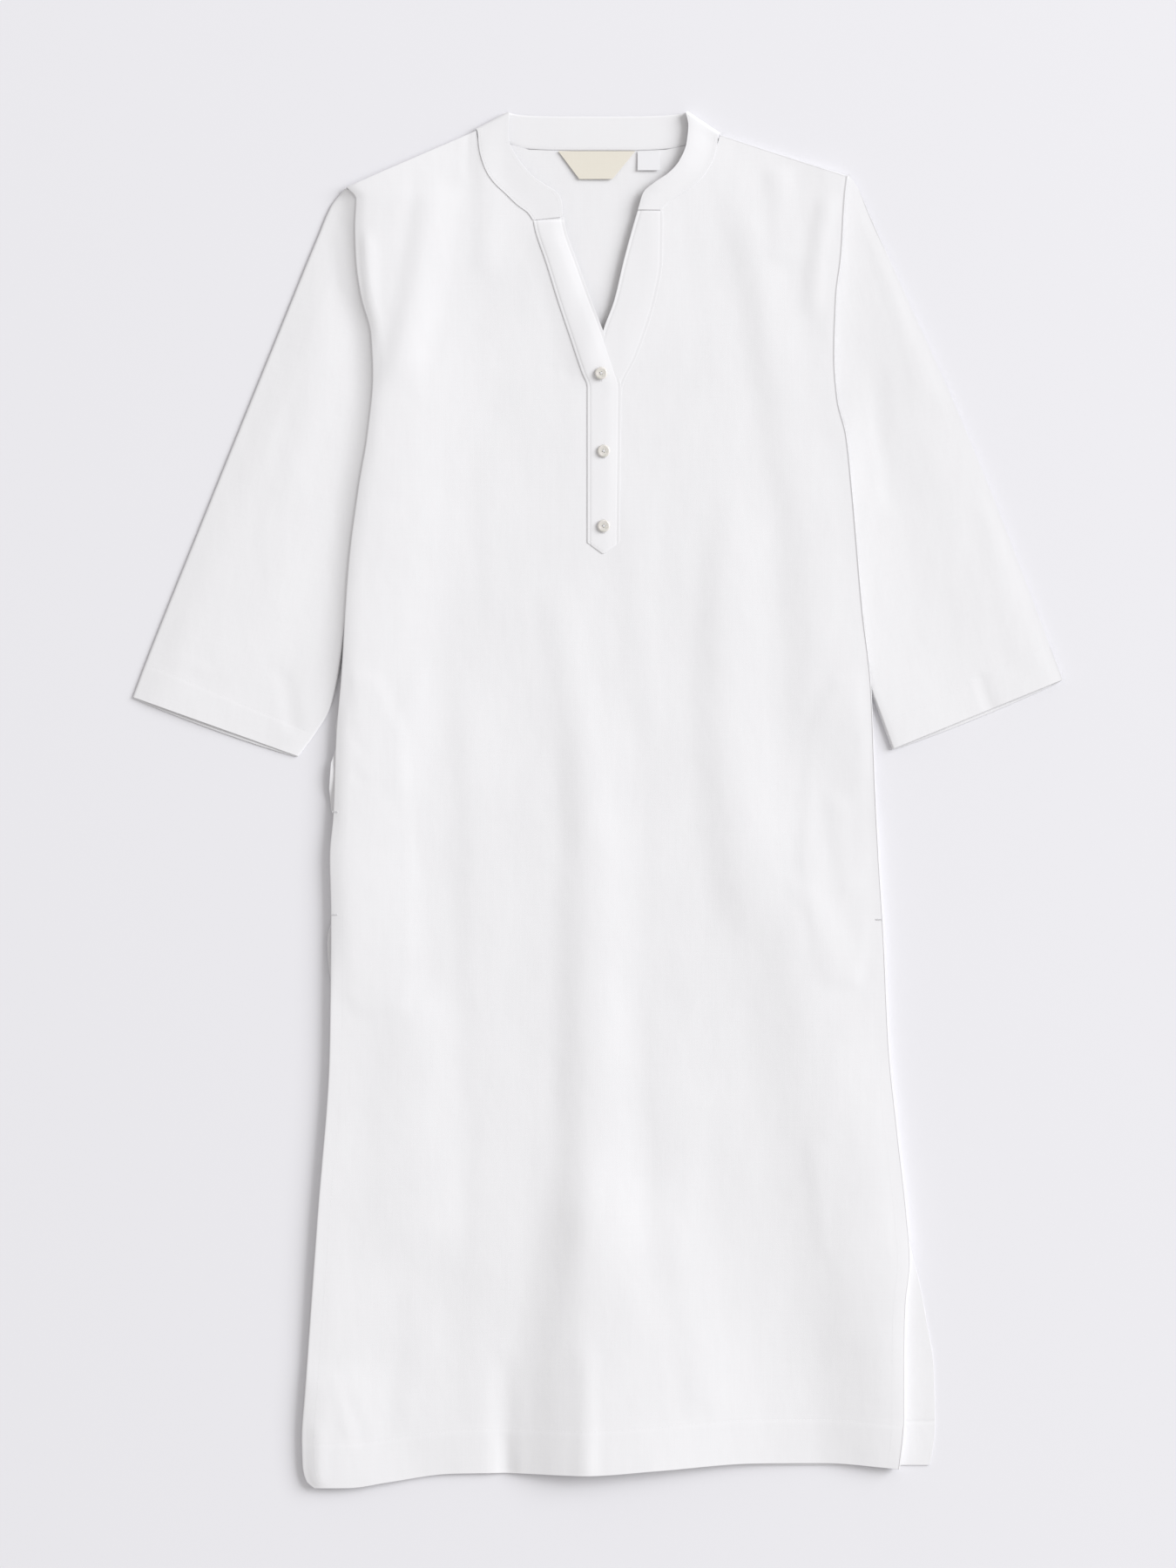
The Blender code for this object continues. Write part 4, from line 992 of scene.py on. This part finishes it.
def band_stations():
    """Free and seam points of the band from end to end; a rise of None lies on the front."""
    left = [((across, down, None), (float(neck_left(seam)), seam, None))
            for seam, across, down in BAND_LEFT]
    right = [((across, down, None), (float(neck_right(seam)), seam, None))
             for seam, across, down in BAND_RIGHT]
    back_part = [((row[0], row[1], BAND_RISE), (row[2], row[3], BAND_RISE))
                 for row in BAND_BACK]
    turns = [tuple((point[0] + sign * FOLD_OUT, point[1] - FOLD_OUT, FOLD_RISE)
                   for point in station) for station, sign in ((left[-1], -1), (right[0], 1))]
    return left + [turns[0]] + back_part + [turns[1]] + right


def band_lift(station, share):
    """Height of the band's middle over the front: close at the seam, higher when free."""
    free = blend(0.75, 0.85, smooth(station / 5.0))
    if station > LAST_MARK / 2:
        free = blend(0.8, 1.8, smooth((LAST_MARK - station) / 5.0))
    return blend(free, 0.34, smooth(share / 0.9))


def band_rows(shares, marks):
    """Middle of the band's wall: a row for each mark along it, with points across it."""
    stations = band_stations()
    lines = []
    for share in shares:
        points = []
        for station, (free, seam) in enumerate(stations):
            across, down = (blend(free[i], seam[i], share) for i in (0, 1))
            rise = free[2]
            if rise is None:
                under = np.array([across]), np.array([down])
                rise = float((front_rise(*under) + front_detail(*under))[0])
                rise += band_lift(station, share)
            points.append((across, down, rise))
        curves = [Curve([(i, point[axis]) for i, point in enumerate(points)])
                  for axis in range(3)]
        lines.append(np.stack([curve(marks) for curve in curves], -1))
    return np.stack(lines, axis=1)


LAST_MARK = len(band_stations()) - 1
band_marks = np.concatenate([[0.0, 0.03, 0.08], np.linspace(0.15, LAST_MARK - 0.15, 250),
                             LAST_MARK - np.array([0.08, 0.03, 0.0])])
band_shares = np.concatenate([[0.0, 0.012, 0.035, 0.07], np.linspace(0.11, 0.89, 15),
                              [0.93, 0.965, 0.988, 1.0]])
band_middle = band_rows(band_shares, band_marks)
band_points = place(*np.moveaxis(band_middle, -1, 0))
thin_sides = np.minimum(quarter(band_shares, 0.08), quarter(1.0 - band_shares, 0.08))
thin_ends = np.minimum(quarter(band_marks, 0.2), quarter(LAST_MARK - band_marks, 0.2))
band_wall = BAND_WALL * (0.35 + 0.65 * np.minimum(thin_sides, thin_ends[:, None]))
band_mesh = shell("kurta_neck_band", band_points, band_wall, outside=BAND_WALL / 2)
add_piece("kurta_neck_band", band_mesh, cotton_band, "neck_band")

# %% [markdown]
# ## Placket
# The opening is finished with two strips. The upper one ends in a point below the lowest
# button and carries the buttonholes, and the lower one lies under it and forms the right
# side of the V. A tailor folds each strip double. Here each is one sheet, a little fuller
# in the middle, with its edges pressed down to the front.

# %% Placket strips
OVER_STRIP = ((88.6, -56.7, -31.8), (97, -55, -30), (121, -46.9, -21.5), (153, -37, -9.8),
              (184, -26.6, 2.1), (211, -17.5, 11.2), (222, -13.3, 14), (280, -13.3, 13.4),
              (347, -13.3, 12.6))
UNDER_STRIP = ((80.6, 27.3, 47.6), (90, 24.5, 47.6), (121, 16.1, 47.2), (153, 8.4, 41.5),
               (178, -0.7, 34), (200, -5.5, 25.5), (222, -8.4, 15.2), (245, -8.4, 12.5),
               (342, -8.4, 12.3))
OVER_POINT = 9.5
OVER_LIFT = 0.8
STRIP_WALL = 0.4


def strip_spot(rows, point_depth, share, down):
    """Plan place on a strip, a share of the way across it."""
    across = blend(Curve(rows, 1)(down), Curve(rows, 2)(down), share)
    tip = smooth((down - (rows[-1][0] - 40.0)) / 40.0)
    return across, down + point_depth * tip * (1.0 - np.abs(2.0 * share - 1.0))


def strip_rise(rows, lift, low, share, across, down, at):
    """Height of a strip: full in the middle, with edges pressed down by low."""
    wide = Curve(rows, 2)(at) - Curve(rows, 1)(at)
    ends = np.minimum(at - rows[0][0], rows[-1][0] - at) + 0.6
    left, right = share * wide, (1.0 - share) * wide
    full = lift - low[0] * (1.0 - quarter(np.minimum(left, ends), 4.5))
    full -= low[1] * (1.0 - smooth(right / 11.0))
    full -= 0.45 * smooth((rows[0][0] + 1.0 - at) / 2.0)
    full += groove(left - 2.2, 0.6, 0.2) + groove(right - 2.2, 0.6, 0.12)
    return front_rise(across, down) + front_detail(across, down) + full


strip_shares = np.concatenate([[0.0, 0.008, 0.022, 0.045, 0.065, 0.085, 0.105, 0.13],
                               np.linspace(0.16, 0.84, 12),
                               [0.87, 0.895, 0.915, 0.935, 0.955, 0.978, 0.992, 1.0]])
STRIPS = {"over": (OVER_STRIP, OVER_POINT, OVER_LIFT, (0.45, 0.5)),
          "under": (UNDER_STRIP, 0.0, 0.35, (0.1, 0.2))}
for strip_name, (rows, tip, lift, low) in STRIPS.items():
    downs = np.concatenate([rows[0][0] + np.array([-3.0, -1.5, -0.6, 0.0, 0.6, 1.5]),
                            np.linspace(rows[0][0] + 3.0, rows[-1][0] - 3.0, 96),
                            rows[-1][0] - np.array([1.7, 0.9, 0.3, 0.0])])
    share, at = np.meshgrid(strip_shares, downs)
    across, down = strip_spot(rows, tip, share, at)
    rise = strip_rise(rows, lift, low, share, across, down, at)
    wide = Curve(rows, 2)(at) - Curve(rows, 1)(at)
    from_edge = np.minimum(np.minimum(share, 1.0 - share) * wide, downs[-1] - at)
    wall = STRIP_WALL * (0.35 + 0.65 * quarter(from_edge, 1.5))
    mesh = shell(f"kurta_placket_{strip_name}", place(across, down, rise), wall)
    add_piece(f"kurta_placket_{strip_name}", mesh, cotton_band, f"placket_{strip_name}")

# %% [markdown]
# ## Pocket bags and labels
# The pocket bags lie between front and back, where their edges show at the left pocket
# opening. The neck label is a woven tape cut to a trapezoid, and a small white care tab
# hangs beside it. Both stay bare. Rings of points from the middle out to the outline
# fill the pocket bags, and a grid between four corners fills the label and the tab.

# %% Flat pieces
ON_BACK = 1.55
POCKET_THICK, POCKET_UNEVEN = 0.9, 0.08


def ring_panel(outline, low, wall, uneven, seed, lift=0.0):
    """Grid of rings from the middle of an outline out to it, which lifts at the opening."""
    outline = np.array(outline, float)
    loop = np.concatenate([outline, outline[:1]])
    run = np.concatenate([[0.0], np.cumsum(np.hypot(*np.diff(loop, axis=0).T))])
    marks = np.unique(np.concatenate([run[:-1], np.linspace(0.0, run[-1], 97)[:-1]]))
    edge = np.stack([np.interp(marks, run, loop[:, i]) for i in (0, 1)], -1)
    middle = outline.mean(axis=0)
    size = np.hypot(*(edge - middle).T).mean()
    shares = np.concatenate([np.linspace(0.04, 0.9, 12), 1.0 - np.array([3.0, 1.2, 0.4, 0.0])
                             / size])
    plan = middle + (edge - middle) * shares[:, None, None]
    across, down = plan[..., 0], plan[..., 1]
    rise = low + wall + uneven * soft_noise(across, down, 12.0, 20.0, seed)
    opening = bump(down - 532.0, 50.0, 34.0) * smooth((left_edge(down) + 6.0 - across) / 7.0)
    rise += lift * opening
    return place(across, down, rise)


def corner_panel(corners, low, wall, lift):
    """Grid between four corners, which curls up by lift at its lower edge."""
    first, second, third, fourth = (np.array(point, float) for point in corners)
    steps = np.concatenate([[0.0, 0.01, 0.03, 0.06], np.linspace(0.1, 0.9, 21),
                            [0.94, 0.97, 0.99, 1.0]])
    u, v = (axis[..., None] for axis in np.meshgrid(steps, steps))
    plan = blend(blend(first, second, u), blend(fourth, third, u), v)
    curl = lift * v[..., 0] ** 2 * (0.6 + 0.4 * u[..., 0])
    return place(plan[..., 0], plan[..., 1], low + wall + curl)


for side, outline, seed, lift in (("left", POCKET_LEFT, 21, 3.8),
                                  ("right", POCKET_RIGHT, 22, 0.0)):
    grid = ring_panel(outline, ON_BACK, POCKET_THICK, POCKET_UNEVEN, seed, lift)
    mesh = shell(f"kurta_pocket_{side}", grid[:, ::-1], CLOTH_WALL, closed=True, rim=0.3)
    add_piece(f"kurta_pocket_{side}", mesh, cotton, f"pocket_{side}")

NECK_LABEL = ((-36.4, 32.2), (25.2, 32.2), (7, 54.6), (-19.6, 54.6))
CARE_TAB = ((27.3, 32.2), (44.8, 32.2), (44.8, 47.6), (27.3, 47.6))
label_grid = corner_panel(NECK_LABEL, ON_BACK, 0.6, 0.9)
add_piece("kurta_neck_label", shell("kurta_neck_label", label_grid[:, ::-1], 0.45),
          label_satin, "neck_label", slot="label")
tab_grid = corner_panel(CARE_TAB, ON_BACK, 0.5, 1.1)
add_piece("kurta_care_tab", shell("kurta_care_tab", tab_grid[:, ::-1], 0.3),
          tab_satin, "care_tab", slot="tab")

# %% [markdown]
# ## Buttons
# The buttons are turned from shell: a raised rim, a shallow dish and four holes, 10 mm
# wide. A lathe profile makes the body, a Boolean cuts the holes as a drill would, and two
# crossed stitches and a short shank of thread hold each button to the placket.

# %% Buttons
BUTTONS = (("button_top", -2.1, 211.4, 20), ("button_middle", 0.0, 273.7, 65),
           ("button_bottom", 0.0, LOWEST_BUTTON, 40))
BUTTON_PROFILE = ((0.0, 1.4), (1.6, 1.4), (2.4, 1.42), (2.9, 1.47), (3.3, 1.53), (3.7, 1.57),
                  (4.05, 1.57), (4.4, 1.48), (4.7, 1.32), (4.9, 1.08), (5.0, 0.85), (4.9, 0.6),
                  (4.55, 0.3), (4.0, 0.1), (3.4, 0.0), (0.0, 0.0))
HOLE_RADIUS, HOLE_RING, THREAD_ON = 0.45, 1.15, 1.46
SETTLE = 0.9   # how far the thread draws a button down to the thinner cloth
TURN_STEPS = 56


def lathe_mesh(name, profile, steps):
    """Closed body turned from a profile of radius and height."""
    angles = np.arange(steps) * 2 * np.pi / steps
    points = [(0.0, 0.0, profile[0][1] * MM)]
    for radius, height in profile[1:-1]:
        points += [(radius * MM * math.cos(a), radius * MM * math.sin(a), height * MM)
                   for a in angles]
    points.append((0.0, 0.0, profile[-1][1] * MM))
    rings = len(profile) - 2
    faces = []
    for i in range(steps):
        j = (i + 1) % steps
        faces.append((0, 1 + i, 1 + j))
        for ring in range(rings - 1):
            near, far = 1 + ring * steps, 1 + (ring + 1) * steps
            faces.append((near + i, far + i, far + j, near + j))
        last = 1 + (rings - 1) * steps
        faces.append((len(points) - 1, last + j, last + i))
    return new_mesh(name, points, faces)


def drilled(piece):
    """Cut four holes through a button and keep the result as its mesh."""
    drills = []
    for i in range(4):
        angle = math.radians(45 + 90 * i)
        pin = lathe_mesh("drill", ((0, 4.0), (HOLE_RADIUS, 4.0), (HOLE_RADIUS, -1.0),
                                   (0, -1.0)), 20)
        tool = add_object("drill", pin)
        tool.parent = piece
        tool.location = (HOLE_RING * MM * math.cos(angle), HOLE_RING * MM * math.sin(angle), 0)
        cut = piece.modifiers.new("hole", "BOOLEAN")
        cut.operation = "DIFFERENCE"
        cut.object = tool
        cut.solver = "EXACT"
        drills.append(tool)
    bpy.context.view_layer.update()
    made = piece.evaluated_get(bpy.context.evaluated_depsgraph_get())
    mesh = bpy.data.meshes.new_from_object(made)
    piece.modifiers.clear()
    piece.data = mesh
    mesh.set_sharp_from_angle(angle=math.radians(40))
    for tool in drills:
        bpy.data.objects.remove(tool, do_unlink=True)


button_seats = {}
for name, across, down, turn in BUTTONS:
    button_seats[name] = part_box(name)[0].z - SETTLE * MM
    body = lathe_mesh("kurta_" + name, BUTTON_PROFILE, TURN_STEPS)
    piece = add_piece("kurta_" + name, body, pearl, name, slot="button")
    piece.location = place(across, down, button_seats[name] / MM)
    piece.rotation_euler.z = math.radians(turn)
    drilled(piece)

# %% [markdown]
# ## Stitches
# Every seam and hem is held by rows of lockstitch, about four stitches to a centimetre,
# and the ends of slits and pockets by bar tacks, which are short bars of close stitches.
# A stitch is a thin spindle of thread that sinks into the cloth. All the stitches on a
# piece are one mesh, worked out at once from their start and end points.

# %% Thread helpers
STITCH, PITCH, THREAD = 2.1, 2.7, 0.12
FINE_STITCH = 2.5, 1.9   # pitch and length of the rows on the band and the placket


def thread_mesh(name, starts, ends, thick=THREAD, sides=6):
    """Spindles of thread between start and end points."""
    starts, ends = np.asarray(starts, float), np.asarray(ends, float)
    along = ends - starts
    long = np.linalg.norm(along, axis=1, keepdims=True)
    along = along / np.maximum(long, 1e-9)
    side = np.cross(along, (0.0, 0.0, 1.0))
    side /= np.maximum(np.linalg.norm(side, axis=1, keepdims=True), 1e-9)
    up = np.cross(side, along)
    sections = ((0.0, 0.25), (0.14, 0.85), (0.5, 1.0), (0.86, 0.85), (1.0, 0.25))
    turns = np.arange(sides) * 2 * np.pi / sides
    rings = []
    for part, full in sections:
        centre = starts + (ends - starts) * part
        for turn in turns:
            rings.append(centre + (side * math.cos(turn) + up * math.sin(turn))
                         * thick * MM * full)
    points = np.stack(rings, axis=1)
    faces = [tuple(range(sides))[::-1], tuple(range(4 * sides, 5 * sides))]
    for ring in range(4):
        for i in range(sides):
            j = (i + 1) % sides
            faces.append((ring * sides + i, ring * sides + j,
                          (ring + 1) * sides + j, (ring + 1) * sides + i))
    per = len(rings)
    everything = [tuple(n * per + i for i in face) for n in range(len(starts))
                  for face in faces]
    return new_mesh(name, points.reshape(-1, 3), everything)


def run_stitches(points, pitch=PITCH, long=STITCH):
    """Start and end points of even stitches along a line of points in the frame."""
    points = np.asarray(points, float)
    run = np.concatenate([[0.0], np.cumsum(np.linalg.norm(np.diff(points, axis=0), axis=1))])
    begin = np.arange(0.0, run[-1] - long * MM, pitch * MM)
    return tuple(np.stack([np.interp(at, run, points[:, i]) for i in range(3)], -1)
                 for at in (begin, begin + long * MM))


def bar_tack(surface, across, down, long=5.0, wide=1.6):
    """Close stitches across a short bar, centred on a place."""
    steps = np.arange(-long / 2, long / 2, 0.42)
    pair = []
    for sign in (-1, 1):
        tips = across + steps + 0.1 * sign, down + 0.0 * steps + sign * wide / 2
        pair.append(place(*tips, surface(*tips) + 0.18))
    return pair


def add_stitches(name, pairs, thick=THREAD):
    """One piece of all the stitches in pairs of start and end points."""
    starts, ends = (np.concatenate([pair[i] for pair in pairs]) for i in (0, 1))
    add_piece(name, thread_mesh(name, starts, ends, thick), thread_white)
    print("  ", len(starts), "stitches")


print("stitches to a centimetre:", round(10 / PITCH, 1))

# %% Stitches of front and back
LIFT = -0.03


def on(surface, across, down):
    """Points of a row of stitches on a surface."""
    return place(across, down, surface(across, down) + LIFT)


hem_across = np.linspace(-232, 237, 240)
hem_down = front_hem(hem_across) - HEM_DEPTH
inside_hem = (hem_across > left_edge(hem_down) + 1) & (hem_across < right_edge(hem_down) - 1)
left_downs = np.linspace(LEFT_SLIT, 1104, 200)
right_downs = np.linspace(RIGHT_SLIT, 1088, 200)
front_pairs = [
    run_stitches(on(front_face, hem_across[inside_hem], hem_down[inside_hem])),
    run_stitches(on(front_face, left_edge(left_downs) + SLIT_HEM, left_downs)),
    run_stitches(on(front_face, right_edge(right_downs) - SLIT_HEM, right_downs)),
    bar_tack(front_face, -215.5, 563.5), bar_tack(front_face, -216, 646),
    bar_tack(front_face, 221, 650),
]
add_stitches("stitches_front", front_pairs)
back_downs = np.linspace(RIGHT_SLIT, BACK_HEM - 1, 200)
back_hem_across = np.linspace(-236, 262, 200)
add_stitches("stitches_back", [
    run_stitches(on(back_face, back_right(back_downs) - SLIT_HEM, back_downs)),
    run_stitches(on(back_face, back_hem_across, np.full(200, BACK_HEM - HEM_DEPTH))),
])


# %% Stitches of sleeves, band and placket
def sleeve_row(side, over):
    """Points of the hem stitches on a sleeve's upper layer."""
    sleeve = SLEEVES[side]
    along = np.full(over.shape, 1.0 - SLEEVE_HEM / sleeve["long"])
    ends = sleeve_spot(sleeve, along[:2], np.array([0.0, 1.0]))
    wide = float(np.hypot(*(ends[1] - ends[0])))
    spot = sleeve_spot(sleeve, along, over)
    top = sleeve_top(sleeve, along, over, spot[:, 0], spot[:, 1], wide)
    return place(spot[:, 0], spot[:, 1], top + LIFT)


for side in SLEEVES:
    add_stitches("stitches_sleeve_" + side,
                 [run_stitches(sleeve_row(side, np.linspace(0.02, 0.98, 120)))])

band_pairs = []
for share in (0.085, 0.915):
    marks = np.linspace(0.06, LAST_MARK - 0.06, 700)
    middle = band_rows([share], marks)[:, 0]
    for part in ((marks < 8.0), ((marks > 9.9) & (marks < 17.1)), (marks > 19.0)):
        points = middle[part]
        band_pairs.append(run_stitches(place(points[:, 0], points[:, 1],
                                             points[:, 2] + BAND_WALL / 2 + LIFT), *FINE_STITCH))
add_stitches("stitches_band", band_pairs)


def strip_row(strip_name, from_edge, side, start, stop):
    """Points of a stitch row beside one edge of a placket strip."""
    rows, tip, lift, low = STRIPS[strip_name]
    at = np.linspace(start, stop, 160)
    wide = Curve(rows, 2)(at) - Curve(rows, 1)(at)
    share = from_edge / wide if side == "left" else 1.0 - from_edge / wide
    across, down = strip_spot(rows, tip, share, at)
    return place(across, down, strip_rise(rows, lift, low, share, across, down, at) + LIFT)


point_share = np.linspace(0.07, 0.93, 40)
rows, tip, lift, low = STRIPS["over"]
point_at = np.full(40, 344.4)
point_plan = strip_spot(rows, tip, point_share, point_at)
point_rise = strip_rise(rows, lift, low, point_share, *point_plan, point_at)
placket_rows = [strip_row("over", 2.2, "left", 92, 344), strip_row("over", 2.2, "right", 92, 344),
                place(*point_plan, point_rise + LIFT),
                strip_row("under", 2.2, "left", 84, 205), strip_row("under", 2.2, "right", 84, 205)]
add_stitches("stitches_placket", [run_stitches(row, *FINE_STITCH) for row in placket_rows])


# %% Buttonholes and button thread
def over_rise(across, down):
    """Height of the upper strip's middle."""
    return front_rise(across, down) + front_detail(across, down) + OVER_LIFT


def over_points(across, down):
    """Points just over the upper strip's middle."""
    across = across + 0.0 * down
    return place(across, down, over_rise(across, down) + 0.12)


hole_pairs = []
for name, across, down, turn in BUTTONS:
    steps = np.arange(-5.6, 6.4, 0.45)
    hole_pairs += [[over_points(across + sign * out, down + steps) for out in (0.25, 1.25)]
                   for sign in (-1, 1)]
add_stitches("buttonholes", hole_pairs)

sewing = []
for name, across, down, turn in BUTTONS:
    seat = button_seats[name] / MM
    for i in range(2):
        first, second = (math.radians(45 + 90 * k + turn) for k in (i, i + 2))
        for shift in (-0.28, 0.0, 0.28):
            normal = first + math.pi / 2
            dx, dy = shift * math.cos(normal), shift * math.sin(normal)
            sewing.append([place(np.array([across + HOLE_RING * math.cos(angle) + dx]),
                                 np.array([down - HOLE_RING * math.sin(angle) - dy]),
                                 np.array([seat + THREAD_ON + 0.12 * i]))
                           for angle in (first, second)])
    strip_top = float(over_rise(np.array([across]), np.array([down]))[0])
    for shift in (-0.6, -0.2, 0.2, 0.6):
        ends = np.array([across + shift]), np.array([down + shift])
        sewing.append((place(*ends, np.array([seat + 0.2])),
                       place(ends[0] + 0.3, ends[1], np.array([strip_top - 0.2]))))
    print(name, "shank", round(seat - strip_top, 2), "mm")
add_stitches("button_thread", sewing, 0.17)

# %% [markdown]
# ## Cut sizes
# Each sheet of cloth states its flat size, and a sleeve is stated all round. The areas were
# rounded from the meshes of an early version, so the print only shows how far later edits
# moved them. It does not check the cut.

# %% Sheets
SHEETS = (   # piece, width and length in mm, area in square metres, what it lies on
    ("back", 511, 1072, 0.4560, ("table",)),
    ("front", 486, 1092, 0.4480, ("kurta_back", "kurta_sleeve_left", "kurta_sleeve_right")),
    ("sleeve_left", 312, 444, 0.0930, ("table",)),
    ("sleeve_right", 300, 440, 0.0870, ("table",)),
    ("neck_band", 30, 372, 0.0093, ("kurta_back", "kurta_front")),
    ("placket_over", 27, 275, 0.0072, ("kurta_placket_under",)),
    ("placket_under", 35, 267, 0.0069, ("kurta_front",)),
    ("pocket_left", 69, 275, 0.0151, ("kurta_back",)),
    ("pocket_right", 56, 252, 0.0116, ("kurta_back",)),
    ("neck_label", 61.6, 22.4, 0.00099, ("kurta_back",)),
    ("care_tab", 17.5, 15.4, 0.000269, ("kurta_back",)),
)


def half_area(piece):
    """One-sided area of a thin closed sheet, in square metres."""
    return sum(face.area for face in piece.data.polygons) / 2


for name, wide, long, area, rests_on in SHEETS:
    piece = bpy.data.objects["kurta_" + name]
    print(name, "stated", area, "m2, measured", round(half_area(piece), 5), "m2")
